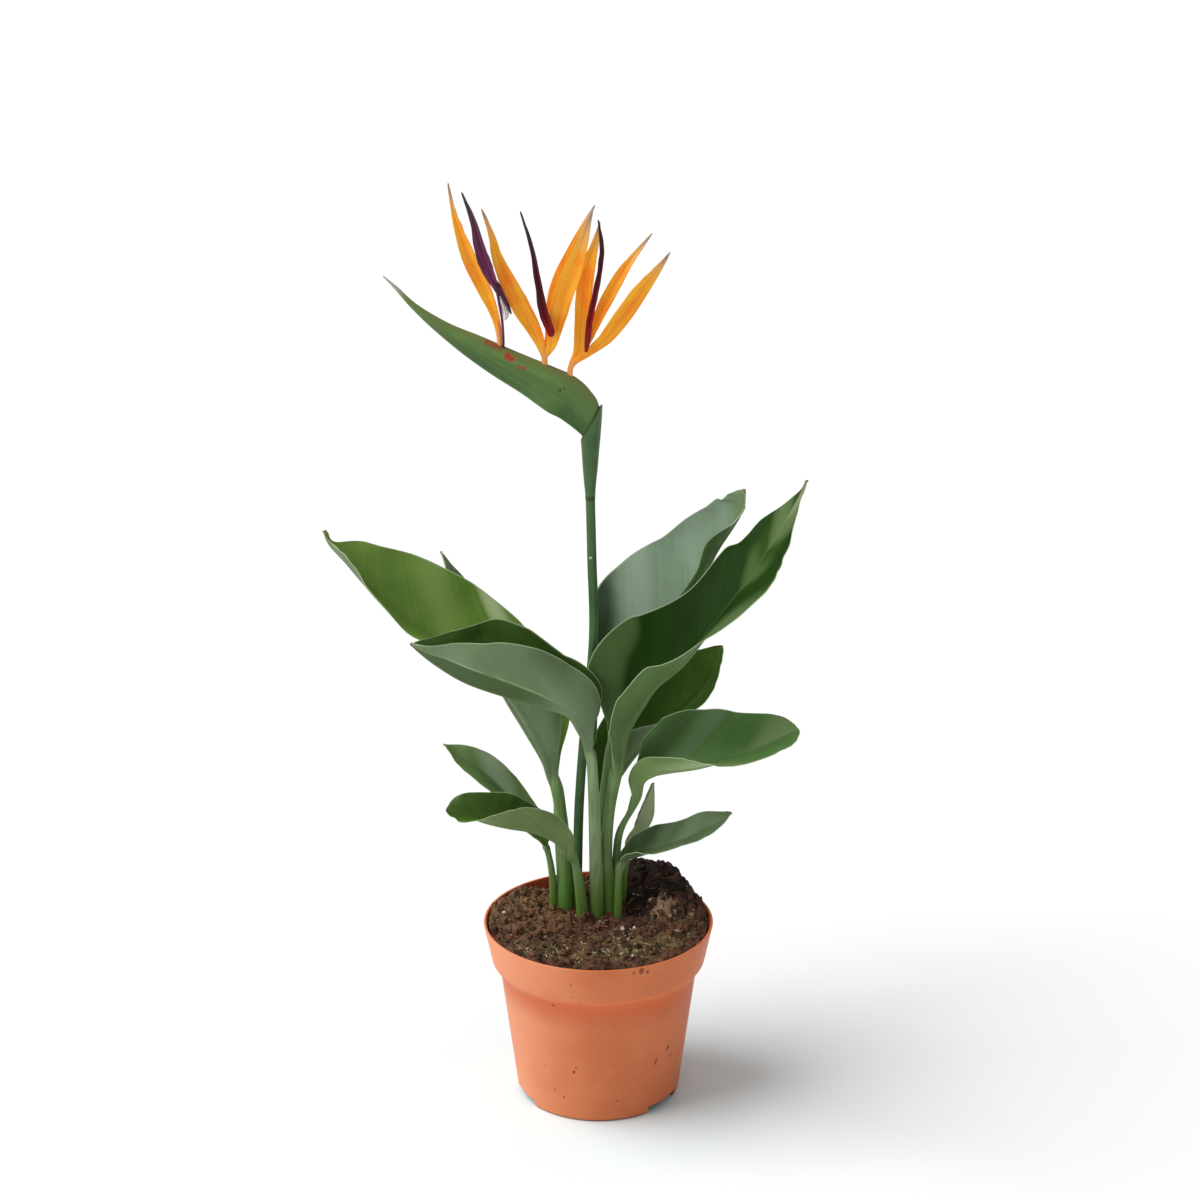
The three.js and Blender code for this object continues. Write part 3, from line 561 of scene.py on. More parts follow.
def leafPaint(name, tones, finish, seed, spots):
    paint = Paint(name, tones)
    across, along, share = paint.mark("bladePlace")
    opened, tipped, face = paint.mark("bladeForm")
    place = paint.place()
    vein = veinAt(along, across.size(), share)
    (fineAlong, fineAcross), (broadAlong, broadAcross) = finish["fineVeins"], finish["broadVeins"]
    fine = paint.clouds(paint.vector(vein * fineAlong, across * fineAcross, seed), 1, 3, 0.6)
    broad = paint.clouds(paint.vector(vein * broadAlong, across * broadAcross, seed + 3), 1, 2, 0.5)
    patch = paint.clouds(place, finish["patches"], 2, 0.5)
    upper = face.rise(-0.3, 0.3)
    blend = (0.32 * broad + 0.42 * patch + 0.26 * fine).rise(0.32, 0.68)
    paint.colour = paint.mix(paint.mix("backDeep", "back", blend), paint.mix("deep", "face", blend), upper)
    uneven = finish["washUneven"]
    # the washes lay painted sheen and painted shade over the leaf's colour
    for middle, middleShare, reach, spread, tone, strength in spots:
        off = ((vein - middle) / reach) ** 2 + ((share - middleShare) / spread) ** 2
        near = (off + uneven * (broad - 0.5) + uneven * (patch - 0.5)).rise(*finish["washEdge"])
        if abs(middleShare) > finish["ownHalf"]:
            near = near * (share * math.copysign(1, middleShare)).rise(-0.12, 0.12)
        paint.cover(srgb(*tone), near * strength)
    if finish["crease"]:  # the fold along the midrib that is seen from below: painted shade on the strip that turns under, and a pale line of painted highlight on its lit edge
        low = share - finish["crease"] * tipped.rise(0.15, 0.85)
        below = (1 - upper) * share.rise(-0.02, 0.02) * tipped.rise(0.4, 0.62)
        paint.cover("creaseShade", low.rise(0.0, -0.05) * below * 0.9)
        paint.cover("margin", low.size().rise(0.024, 0.0) * below * broad.rise(0.3, 0.6) * 0.7)
    paint.cover("rib", across.size().rise(1.6, 0.5) * opened * finish["ribShare"])
    paint.cover("margin", share.size().rise(*finish["marginEnds"]) * 0.8)
    paint.cover("tip", tipped.rise(0.975, 1) * 0.8)
    streak = paint.clouds(paint.stretched(place, 0.6, 0.6, 0.015), 1, 2, 0.5)
    stalk = paint.mix("stalk", "stalkDeep", (0.5 * streak + 0.5 * patch).rise(0.3, 0.7))
    stalk = paint.mix(stalk, "foot", paint.parts(place)[2].rise(150, 116) * 0.85)
    paint.colour = paint.mix(stalk, paint.colour, opened.rise(0.25, 0.85))
    rough = finish["gloss"] + 0.12 * fine + 0.1 * (1 - upper)
    normal = paint.bump(0.7 * fine + 0.6 * broad, 0.22, 0.5)
    return paint.finish(Roughness=rough, Normal=normal, Specular_IOR_Level=finish["shine"])


for number, leaf in enumerate(leaves):
    leafPiece(leaf, float(number))
print("leaves made:", len(leaves))


# The flower stalk's rows of x, z and radius, and those of the sheath round the spathe's neck.
flowerStalk = {
    "y": 22, "sides": 40, "steps": 5, "node": 374.6, "scar": (-4.6, 19.3, 338.5),
    "rows": [
        [-13, 83, 2.9], [-13, 114, 2.9], [-12.5, 150, 2.9], [-11.5, 182, 2.9], [-8.6, 224, 2.8],
        [-2.9, 286, 2.8], [-3.8, 336, 2.8], [-4.6, 371, 2.8], [-4.7, 374.5, 3], [-4.76, 375.9, 2.9],
        [-4.78, 376.2, 1.9], [-4.8, 377.5, 1.8], [-4.82, 380, 1.8], [-4.9, 388, 1.85], [-5, 403, 1.9],
    ],
}
sheath = {
    "wall": 0.8, "columns": 64, "steps": 28,
    "mouth": [(-10, 411), (2, 432)], "mouthX": -4.4, "mouthRadius": 6.2,
    "rows": [
        [-4.7, 376.4, 3], [-4.8, 384, 3.6], [-4.7, 394, 4.5], [-4.6, 404, 5.2], [-4.5, 413, 5.9],
        [-4.2, 424, 6.4], [-4, 436, 6.6],
    ],
}


def levelRing(x, z, radius, sides):
    y = flowerStalk["y"]
    return [Vector((x + radius * math.cos(turn), y - radius * math.sin(turn), z)) for turn in around(sides)]


def flowerStalkPiece(material):
    rows, steps = flowerStalk["rows"], flowerStalk["steps"]
    count = (len(rows) - 1) * steps + 1
    points, faces = skin([levelRing(*rowAt(rows, i / steps), flowerStalk["sides"]) for i in range(count)])
    rides(newMesh("flower_stalk_round", points, faces, [material]), "flower_stalk", "flower_stalk")


def sheathSection(z):  # centre and radius of the sheath at a height
    rows = sheath["rows"]
    i = max(k for k in range(len(rows) - 1) if rows[k][1] <= z)
    x, _, radius = rowAt(rows, i + (z - rows[i][1]) / (rows[i + 1][1] - rows[i][1]))
    return x, radius


def sheathPiece(material):
    (x0, z0), (x1, z1) = sheath["mouth"]
    bottom, columns, steps = sheath["rows"][0][1], sheath["columns"], sheath["steps"]
    outside = [(k / steps, 0) for k in range(steps + 1)]
    shares = outside + [(1 - share, sheath["wall"]) for share, _ in outside]
    points = []
    for share, inset in shares:
        for turn in around(columns):
            rimX = sheath["mouthRadius"] * math.cos(turn) + sheath["mouthX"]
            z = lerp(bottom, z0 + (z1 - z0) * (rimX - x0) / (x1 - x0), share)
            x, radius = sheathSection(z)
            radius -= inset
            points.append((x + radius * math.cos(turn), flowerStalk["y"] - radius * math.sin(turn), z))
    rows = len(shares)
    faces = []
    for i in range(rows):
        a, b = i * columns, (i + 1) % rows * columns
        faces += [(a + k, b + k, b + (k + 1) % columns, a + (k + 1) % columns) for k in range(columns)]
    rides(newMesh("stalk_sheath_slanted", points, faces, [material]), "flower_stalk", "stalk_sheath")


# The spathe, from the neck to the tip: x and z of its upper edge, x and z of its keel and its half thickness.
spathe = {
    "y": 22, "sides": 56, "steps": 7, "slit": 0.14, "slitWidth": 0.12,
    "rows": [
        [-1.8, 404, -8.2, 404, 3.2], [0.8, 429, -8.8, 412, 4.6], [-5, 441, -21, 422.6, 6.4],
        [-14, 449, -30.4, 427.9, 7], [-27, 455, -45, 438.8, 6.8], [-47, 463.5, -62, 450, 5.8],
        [-67, 472.5, -80, 463.5, 4.4], [-86, 480.5, -96.4, 478, 2.6], [-104, 491.5, -107.6, 489.4, 1.5],
        [-115, 501.8, -116.6, 500.2, 0.9], [-123, 508.4, -123.4, 507.8, 0.4],
    ],
}


def spathePiece(material):
    rings, marks = [], []
    end = len(spathe["rows"]) - 1
    for i in range(end * spathe["steps"] + 1):
        t = i / spathe["steps"]
        topX, topZ, keelX, keelZ, half = rowAt(spathe["rows"], t)
        top, keel = Vector((topX, spathe["y"], topZ)), Vector((keelX, spathe["y"], keelZ))
        centre, above = (top + keel) / 2, (top - keel) / 2
        opened = smoothstep(t, 1, 2) * (1 - smoothstep(t, end - 3, end))
        ring = []
        for k in range(spathe["sides"]):
            turn = math.pi - 2 * math.pi * (k + 0.5) / spathe["sides"]
            across, up = math.cos(turn), math.sin(turn)
            slit = math.exp(-((across / spathe["slitWidth"]) ** 2)) if up > 0 else 0
            lift = above * (up - spathe["slit"] * opened * slit)
            ring.append(centre + lift + Vector((0, -half * across, 0)))
            marks.append((t, across, up))
        rings.append(ring)
    points, faces = skin(rings)
    rides(newMesh("spathe_boat", points, faces, [material], {"boatPlace": marks}), "spathe", "spathe")


def slip(heading, fold, rows):  # one sepal or petal, with its heading and fold in degrees
    return {"heading": heading, "fold": fold, "rows": rows}


# The florets: each has up to three sepals, which start in one foot, and an arrow petal, as rows of x, y, z
# and half width. The first also has the arrow's barb, the style that carries it and the paper skin between.
florets = [
    {
        "foot": [[-57, 22, 462, 1.5], [-57.2, 22, 474, 1.6]],
        "sepals": [
            slip(80, 25, [
                [-60, 21, 488, 3], [-65, 21, 501, 4.6],
                [-73, 20, 519, 4.8], [-79, 19, 536, 3], [-82, 18, 547, 1.6], [-85, 17, 563, 0.4],
            ]),
        ],
        "petal": slip(90, 35, [
            [-56.4, 13.4, 499, 1.2], [-57.4, 13.2, 502.4, 1.9], [-60, 12.4, 508, 3], [-63.8, 12, 517, 4.4],
            [-66.8, 12, 526, 4], [-71, 11, 543.5, 2.1], [-77, 11, 559, 0.4],
        ]),
        "barb": slip(90, 20, [
            [-59, 12.9, 508, 1], [-57.6, 13, 504.6, 1.8], [-54.6, 13.8, 498.4, 1.6],
            [-51.8, 14.6, 492.4, 1.2], [-49.8, 15, 487.6, 0.4],
        ]),
        "style": slip(90, 0, [
            [-54.7, 20.6, 466.5, 0.7], [-54.6, 19.4, 472, 0.7], [-55.2, 16.6, 484, 0.8],
            [-56.6, 14.6, 494, 0.8], [-58.2, 13.2, 504, 0.8],
        ]),
        "skin": slip(90, 10, [
            [-56.2, 14.8, 499, 0.6], [-55.6, 15.2, 496.4, 1], [-53.9, 15.8, 491, 2.1],
            [-53.2, 16, 486.8, 2.1], [-53.4, 16, 483.6, 0.6],
        ]),
    },
    {
        "foot": [[-31, 22, 451, 1.5], [-31, 22, 460, 1.6]],
        "sepals": [
            slip(95, 20, [
                [-36, 21, 475, 4], [-43.3, 20, 489, 5.6],
                [-50.6, 18, 504, 5.2], [-57.3, 16, 520, 3.4], [-61, 15, 535, 1.8], [-66, 14, 549, 0.4],
            ]),
            slip(85, 20, [
                [-27, 21, 468, 3], [-24, 19, 482, 5],
                [-20, 17, 498, 6], [-14, 16, 514, 5.6], [-9, 15, 529, 3.4], [-3, 15, 549, 0.4],
            ]),
            slip(70, 20, [
                [-28, 24, 473, 2.7], [-25.4, 27, 490, 4.6],
                [-21, 29, 504, 5.4], [-15, 31, 518, 4.4], [-9, 32, 533, 2.2], [-2, 33, 547, 0.4],
            ]),
        ],
        "petal": slip(90, 35, [
            [-26.8, 16, 474.6, 1.4], [-27.2, 15.7, 476.4, 2.2], [-28.8, 15, 482, 3.1],
            [-31.6, 15, 490, 3.2], [-34, 14, 505, 2.4], [-38, 12, 528, 1.4], [-44, 11, 548, 0.4],
        ]),
    },
    {
        "foot": [[-16, 22, 444, 1.5], [-15.7, 22, 455, 1.6]],
        "sepals": [
            slip(90, 20, [
                [-11, 23, 464, 3.6], [-9, 25, 482, 5],
                [-8, 27, 499, 5], [-6, 28, 512, 4.6], [-2, 29, 525, 2.4], [1, 29, 538, 0.4],
            ]),
            slip(75, 20, [
                [-7, 24, 467, 2], [-1, 26, 480, 3],
                [5, 29, 492, 4], [13, 32, 506, 3.6], [20, 34, 516, 2.2], [31, 36, 530, 0.4],
            ]),
            slip(100, 20, [
                [-6, 21, 463.5, 2.8], [4, 19, 473, 4.6],
                [14, 17, 487, 5.6], [24, 15, 502, 5], [32, 14, 512, 3], [41, 14, 524, 0.4],
            ]),
        ],
        "petal": slip(90, 35, [
            [-7, 17.2, 465, 0.8], [-6.4, 15.8, 470, 1.6], [-5, 15, 483, 2.2], [-2, 16, 498, 2],
            [1, 18, 513, 1.7], [2, 20, 526, 1.5], [0, 21, 541, 0.4],
        ]),
    },
]

petalBuild = {
    **bladeBuild,
    "thickness": 0.9,
    "marginThickness": 0.3,
    "channel": 0.2,
    "shares": (0.5, 1.0),
    "steps": 7,
    "uneven": 0.5,
    "ruffle": 0,
    "rib": 1.5,
    "cup": 0.5,
    "wave": (0, 1, 0),
}


def petalLoft(part, foot=()):
    fold = part["fold"]
    rows = [[x, y, z, width, width, fold, fold] for x, y, z, width in [*foot, *part["rows"]]]
    return loftBlade({**petalBuild, **part}, petalBuild, rows, 1)


def bladesMesh(name, lofts, material):  # several blades as one piece
    points, faces, places, forms = [], [], [], []
    for morePoints, moreFaces, morePlaces, moreForms in lofts:
        faces += [tuple(k + len(points) for k in face) for face in moreFaces]
        points, places, forms = points + morePoints, places + morePlaces, forms + moreForms
    return newMesh(name, points, faces, [material], {"bladePlace": places, "bladeForm": forms})


def floretPieces(number, floret, sepalMaterial, petalMaterial):
    sepals = [petalLoft(sepal, floret["foot"]) for sepal in floret["sepals"]]
    rides(bladesMesh(f"sepals_{number}_open", sepals, sepalMaterial), "sepal", f"sepals_{number}")
    arrow = [petalLoft(floret[key]) for key in ("petal", "barb", "style") if key in floret]
    rides(bladesMesh(f"petals_{number}_arrow", arrow, petalMaterial), "petal", f"petals_{number}")
    if "skin" in floret:
        material = cloudyPaint("petal_skin_pale", (196, 192, 188), (232, 230, 226), 0.4, 0.5, 0.4)
        rides(bladesMesh(f"petals_{number}_skin", [petalLoft(floret["skin"])], material), "petal")


stalkTones = {
    "green": (74, 106, 62), "deep": (46, 74, 38), "foot": (80, 108, 46), "scar": (206, 214, 176),
    "node": (44, 60, 34),
}


def stalkPaint():
    paint = Paint("flower_stalk_green", stalkTones)
    place = paint.place()
    z = paint.parts(place)[2]
    streak = paint.clouds(paint.stretched(place, 1.4, 1.4, 0.03), 1, 3, 0.6)
    patch = paint.clouds(place, 0.05, 3)
    paint.colour = paint.mix("green", "deep", (0.6 * streak + 0.5 * patch).rise(0.4, 0.8))
    paint.cover("foot", z.rise(150, 115) * 0.7)
    paint.cover("node", (z - flowerStalk["node"]).size().rise(1.6, 0.3) * 0.85)
    paint.cover("scar", paint.away(place, flowerStalk["scar"]).rise(1.2, 0.4) * 0.8)
    normal = paint.bump(streak, 0.1, 0.4)
    return paint.finish(Roughness=0.4 + 0.12 * streak, Normal=normal, Specular_IOR_Level=0.4)


spatheTones = {
    "green": (88, 120, 62), "light": (118, 150, 80), "deep": (60, 92, 38), "edge": (122, 122, 70),
    "pale": (108, 128, 68), "tip": (178, 174, 160), "brown": (140, 76, 50), "red": (172, 50, 34),
    "spot": (42, 44, 26),
}
# Patches on the spathe's side: place, radius and tone.
spathePatches = (
    ((-63.5, 19.9, 470), 2.6, "brown"), ((-60, 19.6, 468), 2.4, "brown"), ((-57, 19, 466.5), 1.8, "brown"),
    ((-52.4, 17.7, 462), 2.2, "red"), ((-50.2, 17.4, 460.4), 2.0, "red"),
    ((-45.6, 16.2, 455.8), 1.5, "brown"), ((-42.6, 16.3, 455.4), 1.2, "brown"),
    ((-22.2, 15.3, 442.3), 0.9, "spot"), ((-19.6, 15.3, 443), 0.5, "spot"),
)


def spathePaint():
    paint = Paint("spathe_green", spatheTones)
    place = paint.place()
    along, across, up = paint.mark("boatPlace")
    streak = paint.clouds(paint.vector(along * 0.35, up * 4, across.rise(-0.1, 0.1) * 7), 1, 3, 0.5)
    patch = paint.clouds(place, 0.05, 3)
    ragged = paint.clouds(place, 0.9, 3, 0.6)
    paint.colour = paint.mix("green", "deep", (0.3 * streak + 0.5 * patch - 0.3 * up).rise(0.2, 0.62))
    band = (0.5 * paint.clouds(paint.vector(along * 0.2, up * 1.6, 3.0), 1, 2) + 0.5 * patch).rise(0.46, 0.62)
    paint.cover("light", band * along.rise(2, 4) * 0.5)
    paint.cover("edge", up.rise(0.45, 0.95) * (0.35 + 0.5 * streak))
    paint.cover("pale", along.rise(5.2, 8.4) * 0.75)
    paint.cover("tip", along.rise(8.2, 9.3) * 0.9)
    for point, size, tone in spathePatches:
        blot = (paint.away(place, point) + 2.4 * (ragged - 0.5)).rise(size + 0.5, size * 0.6)
        paint.cover(tone, blot * 0.9)
    normal = paint.bump(streak, 0.1, 0.4)
    return paint.finish(Roughness=0.4 + 0.14 * streak, Normal=normal, Specular_IOR_Level=0.4)


sepalTones = {
    "light": (255, 182, 46), "deep": (255, 132, 18), "foot": (240, 160, 96), "pale": (232, 176, 104),
    "tip": (156, 142, 128), "line": (150, 84, 34),
}


def sepalPaint():
    paint = Paint("sepal_orange", sepalTones)
    _, along, share = paint.mark("bladePlace")
    _, tipped, face = paint.mark("bladeForm")
    streak = paint.clouds(paint.vector(share * 2.6, along * 0.02, face * 2), 1, 3, 0.5)
    patch = paint.clouds(paint.place(), 0.05, 3)
    paint.colour = paint.mix("light", "deep", (0.4 * streak + 0.6 * patch).rise(0.38, 0.66))
    line = paint.clouds(paint.vector(share * 9, along * 0.03, face), 1, 2).rise(0.68, 0.76)
    paint.cover("line", line * tipped.rise(0.75, 0.4) * 0.35)
    paint.cover("foot", tipped.rise(0.1, 0.0) * 0.85)
    paint.cover("pale", tipped.rise(0.74, 0.9) * 0.8)
    paint.cover("tip", tipped.rise(0.86, 0.97) * 0.9)
    normal = paint.bump(streak, 0.2, 0.4)
    return paint.finish(Roughness=0.5 + 0.12 * streak, Normal=normal, Specular_IOR_Level=0.3)


petalTones = {
    "purple": {"light": (128, 62, 96), "deep": (74, 30, 54), "foot": (60, 24, 40), "tip": (62, 62, 66)},
    "red": {"light": (92, 22, 34), "deep": (52, 12, 20), "foot": (134, 4, 8), "tip": (52, 54, 54)},
}


def petalPaint(shade, footTop):
    paint = Paint(f"petal_{shade}_{round(100 * footTop)}", petalTones[shade])
    _, along, share = paint.mark("bladePlace")
    _, tipped, face = paint.mark("bladeForm")
    streak = paint.clouds(paint.vector(share * 3, along * 0.03, face * 2), 1, 4, 0.6)
    paint.colour = paint.mix("light", "deep", streak.rise(0.35, 0.65))
    paint.cover("foot", tipped.rise(footTop, footTop * 0.3) * (0.7 + 0.3 * streak))
    paint.cover("tip", tipped.rise(0.6, 0.95) * 0.9)
    normal = paint.bump(streak, 0.15, 0.5)
    return paint.finish(Roughness=0.44 + 0.15 * streak, Normal=normal, Specular_IOR_Level=0.25)


def cloudyPaint(name, dark, light, scale, rough, strength):  # two tones in soft clouds
    paint = Paint(name, {"dark": dark, "light": light})
    cloud = paint.clouds(paint.place(), scale, 3, 0.6)
    paint.colour = paint.mix("dark", "light", cloud.rise(0.35, 0.65))
    return paint.finish(Roughness=rough + 0.1 * cloud, Normal=paint.bump(cloud, 0.1, strength))


stalkGreen = stalkPaint()
flowerStalkPiece(stalkGreen)
sheathPiece(stalkGreen)
spathePiece(spathePaint())
sepalOrange = sepalPaint()
petalLooks = (("purple", 0.1), ("red", 0.5), ("red", 0.62))  # each petal's shade and how far up its foot goes
for number, (floret, look) in enumerate(zip(florets, petalLooks), 1):
    floretPieces(number, floret, sepalOrange, petalPaint(*look))
print("flower made:", len(florets), "florets")


# The pot: a 14 cm nursery pot, with the part's own sizes.
pot = {
    "height": 112,
    "rimRadius": 70,
    "bandFoot": 88,
    "bandFootRadius": 65,
    "shoulder": 81,
    "shoulderRadius": 60,
    "footRadius": 49.5,
    "footRound": 1.5,
    "wall": 1.8,
    "floor": 2.2,
    "sides": 192,
    "notchWidth": 33,
    "notchHeight": 5,
    "notchDepth": 11,
    "notchAngles": (-36, -158, 83),
    "pocketSide": 3,
    "drainRadius": 3,
    "drainSides": 32,
    "rounding": 0.8,
}


def potRadius(z):
    marks = [(0, pot["footRadius"]), (pot["shoulder"], pot["shoulderRadius"])]
    marks += [(pot["bandFoot"], pot["bandFootRadius"]), (pot["height"], pot["rimRadius"])]
    for (z0, r0), (z1, r1) in zip(marks, marks[1:]):
        if z <= z1:
            return lerp(r0, r1, (z - z0) / (z1 - z0))
    return pot["rimRadius"]


def eased(profile, radius, steps=4):  # rounds the corners of an open profile
    made = [profile[0]]
    for before, corner, after in zip(profile, profile[1:], profile[2:]):
        a, b, c = Vector(before), Vector(corner), Vector(after)
        cut = min(radius, (b - a).length / 3, (c - b).length / 3)
        start, end = b + (a - b).normalized() * cut, b + (c - b).normalized() * cut
        for k in range(steps + 1):
            u = k / steps
            made.append(tuple(start * (1 - u) ** 2 + b * 2 * u * (1 - u) + end * u * u))
    return made + [profile[-1]]


def shellFaces(count, sides):  # a closed surface of a first point, rings of points and a last point
    last = count - 1 - sides
    faces = []
    for k in range(sides):
        after = (k + 1) % sides
        faces.append((0, 1 + after, 1 + k))
        for a in range(1, last, sides):
            faces.append((a + k, a + after, a + sides + after, a + sides + k))
        faces.append((last + k, last + after, count - 1))
    return faces


def turned(profile, sides):  # a solid from a profile of radius and height that starts and ends on the axis
    rings = [(*p, z) for r, z in profile[1:-1] for p in circleEdge(r, around(sides))]
    points = [(0, 0, profile[0][1]), *rings, (0, 0, profile[-1][1])]
    return points, shellFaces(len(points), sides)


def prism(edge, bottom, top):
    n = len(edge)
    points = [(x, y, z) for z in (bottom, top) for x, y in edge]
    faces = [tuple(reversed(range(n))), tuple(range(n, 2 * n))]
    return points, faces + [(k, (k + 1) % n, n + (k + 1) % n, n + k) for k in range(n)]


def circleEdge(radius, turns, x=0, y=0):
    return [(x + radius * math.cos(turn), y + radius * math.sin(turn)) for turn in turns]


def sectorBlock(angle, width, inner, outer, bottom, top, steps=10):
    turns = [math.radians(angle + width * (k / steps - 0.5)) for k in range(steps + 1)]
    return prism(circleEdge(outer, turns) + circleEdge(inner, turns[::-1]), bottom, top)


def cutMesh(piece, tools, operation):  # joins or takes away the tools, one after another
    for points, faces in tools:
        tool = newMesh("tool", points, faces, [])
        change = piece.modifiers.new("cut", "BOOLEAN")
        change.operation = operation
        change.solver = "EXACT"
        change.object = tool
        graph = bpy.context.evaluated_depsgraph_get()
        made = bpy.data.meshes.new_from_object(piece.evaluated_get(graph))
        piece.modifiers.remove(change)
        spent = (piece.data, tool.data)
        piece.data = made
        bpy.data.objects.remove(tool)
        for mesh in spent:
            bpy.data.meshes.remove(mesh)


def potPiece(material):
    rounded, wall, floor = pot["footRound"], pot["wall"], pot["floor"]
    outer = [(pot["footRadius"] - rounded, 0)]
    outer += [(potRadius(z), z) for z in (rounded, pot["shoulder"], pot["bandFoot"], pot["height"])]
    inner = [(potRadius(z) - wall, z) for z in (pot["height"], pot["bandFoot"], pot["shoulder"], floor)]
    points, faces = turned(eased([(0, 0), *outer, *inner, (0, floor)], pot["rounding"]), pot["sides"])
    piece = newMesh("pot_round", points, faces, [material])
    reach = pot["footRadius"] - pot["notchDepth"]
    roof = pot["notchHeight"] + floor
    middle = pot["footRadius"] - (pot["notchDepth"] + wall) / 2
    pockets, cuts = [], []
    for angle in pot["notchAngles"]:
        width = pot["notchWidth"] + 2 * pot["pocketSide"]
        pockets.append(sectorBlock(angle, width, reach - wall, potRadius(roof) - wall / 2, floor / 2, roof))
        cuts.append(sectorBlock(angle, pot["notchWidth"], reach, pot["rimRadius"], -1, pot["notchHeight"]))
        x, y = middle * math.cos(math.radians(angle)), middle * math.sin(math.radians(angle))
        hole = circleEdge(pot["drainRadius"], around(pot["drainSides"]), x, y)
        cuts.append(prism(hole, pot["notchHeight"] - 1, roof + 1))
    cutMesh(piece, pockets, "UNION")
    cutMesh(piece, cuts, "DIFFERENCE")
    piece.data.shade_smooth()
    piece.data.set_sharp_from_angle(angle=math.radians(40))
    rides(piece, "pot_plastic", "pot")


potTones = {
    "clay": (210, 116, 70), "deep": (204, 109, 64), "litSide": (236, 152, 108), "insideShade": (176, 78, 48),
    "under": (40, 20, 14), "warmShadeUnderBand": (230, 112, 54), "scuff": (224, 140, 98), "smudge": (112, 40, 14),
}
# Specks on the pot's side: place and radius.
potMarks = (
    ((42.3, -35.4, 43.5), 1.3), ((41.6, -36.2, 41.6), 0.8), ((43.6, -32.1, 36.2), 0.8),
    ((34.9, -41.6, 37.8), 1.0), ((34.6, -42.0, 35.8), 0.9), ((-13.4, -52.8, 38.6), 0.6),
    ((-14.7, -52.0, 35.5), 1.0), ((-27, -54, 81.6), 1.1), ((-26.3, -44.8, 19.2), 0.6),
    ((-20.8, -47.1, 15.7), 0.8), ((11.3, -50.1, 14.7), 0.6), ((-16.1, -65.6, 100.8), 0.6),
    ((-10.3, -63.5, 87.2), 0.6), ((-15, -64.1, 92.1), 0.45), ((-32.3, -43.2, 34.8), 0.45),
    ((11.8, -52.5, 33.7), 0.35), ((25.5, -64.5, 109.6), 1.7), ((29, -62.6, 108.2), 1.1),
    ((21, -66, 108.8), 0.8),
)


def potPaint():
    paint = Paint("pot_terracotta", potTones)
    place = paint.place()
    x, y, z = paint.parts(place)
    cloud = paint.clouds(place, 0.03, 3, 0.5)
    grain = paint.clouds(place, 1.6, 2, 0.6)
    paint.colour = paint.mix("clay", "deep", cloud.rise(0.4, 0.62))
    # painted light: the left front side, toward the lamp, is paler
    paint.cover("litSide", (x + 0.4 * y + 20 * cloud).rise(-10, -66) * 0.75)
    radius = paint.node("VectorMath", {"operation": "LENGTH"}, {0: paint.vector(x, y, 0.0)}, 1)
    slope = (pot["rimRadius"] - pot["bandFootRadius"]) / (pot["height"] - pot["bandFoot"])
    depth = pot["rimRadius"] - radius - (pot["height"] - z) * slope
    # painted shade: the pot's inner wall is darker
    paint.cover("insideShade", depth.rise(0.9, 1.5) * z.rise(60, 90))
    # a warmer, more saturated tone painted into the shade under the band, against the floor's cool light there
    paint.cover("warmShadeUnderBand", z.rise(66, 83) * z.rise(89.5, 87.5) * 0.6)
    # painted shadow: near black in the notches and under the pot's raised foot
    underFootShade = radius.rise(pot["footRadius"] - 0.9, pot["footRadius"] - 1.8)
    paint.cover("under", underFootShade * z.rise(pot["notchHeight"] + 1.4, pot["notchHeight"] + 0.6))
    cells = paint.node("TexVoronoi", {}, {"Vector": place, "Scale": 0.16})
    paint.cover("smudge", cells.rise(0.07, 0.03) * cloud.rise(0.5, 0.6) * 0.5)
    scuff = paint.clouds(paint.stretched(place, 0.1, 0.1, 0.4), 1, 4, 0.6).rise(0.62, 0.75)
    paint.cover("scuff", scuff * 0.2)
    squat = 0.7  # the specks are taller than wide
    tall = paint.stretched(place, 1, 1, squat)
    for (markX, markY, markZ), size in potMarks:
        blot = (paint.away(tall, (markX, markY, squat * markZ)) + 0.8 * grain).rise(size + 0.6, size)
        paint.cover("smudge", blot * 0.8)
    rough = 0.42 + 0.1 * cloud - 0.06 * scuff
    return paint.finish(Roughness=rough, Normal=paint.bump(grain, 0.03, 0.4), Specular_IOR_Level=0.35)


potPiece(potPaint())
print("pot made")

# The soil: the part's surface with finer clods, and crumbs, roots and moss scattered on it.
soil = {
    "clearance": 0.45,
    "level": 108,
    "edge": 108,
    "rings": 110,
    "sectors": 340,
    "clod": 1.2,
    "lumps": ((0.085, 5.5), (0.17, 4.6), (0.36, 2.8), (0.8, 1.4)),  # scale and size of each layer of clods
    "lumpMean": 0.17,
    "heaps": [  # x, y, height and spread
        (40, 38, 19, 13), (22, 48, 15, 10), (55, 14, 9, 10), (0, -55, 3, 25), (-58, 14, 4, 16),
        (-44, 42, 4, 10), (-34, 52, -4, 9),
    ],
    "rootLump": (41, 8, 9, 5.6),
    "keepIn": (0.84, 0.93),  # moss and fibres thin out between these shares of the way to the pot
    "crumbsIn": (0.93, 0.97),
    "rootThick": 0.035,
    "mossThick": 0.08,
    "moss": [(20, -38, 14), (42, -34, 14), (0, -52, 12), (-36, -42, 12), (55, -12, 8)],  # x, y and spread
    "dryPlace": (-40, 16, 110),
    "shadedWetPlace": (38, 34, 118),
    "rootPlace": (41, 7, 115),
}


def bell(x, y, cx, cy, size, spread):
    return size * math.exp(-((x - cx) ** 2 + (y - cy) ** 2) / (2 * spread * spread))


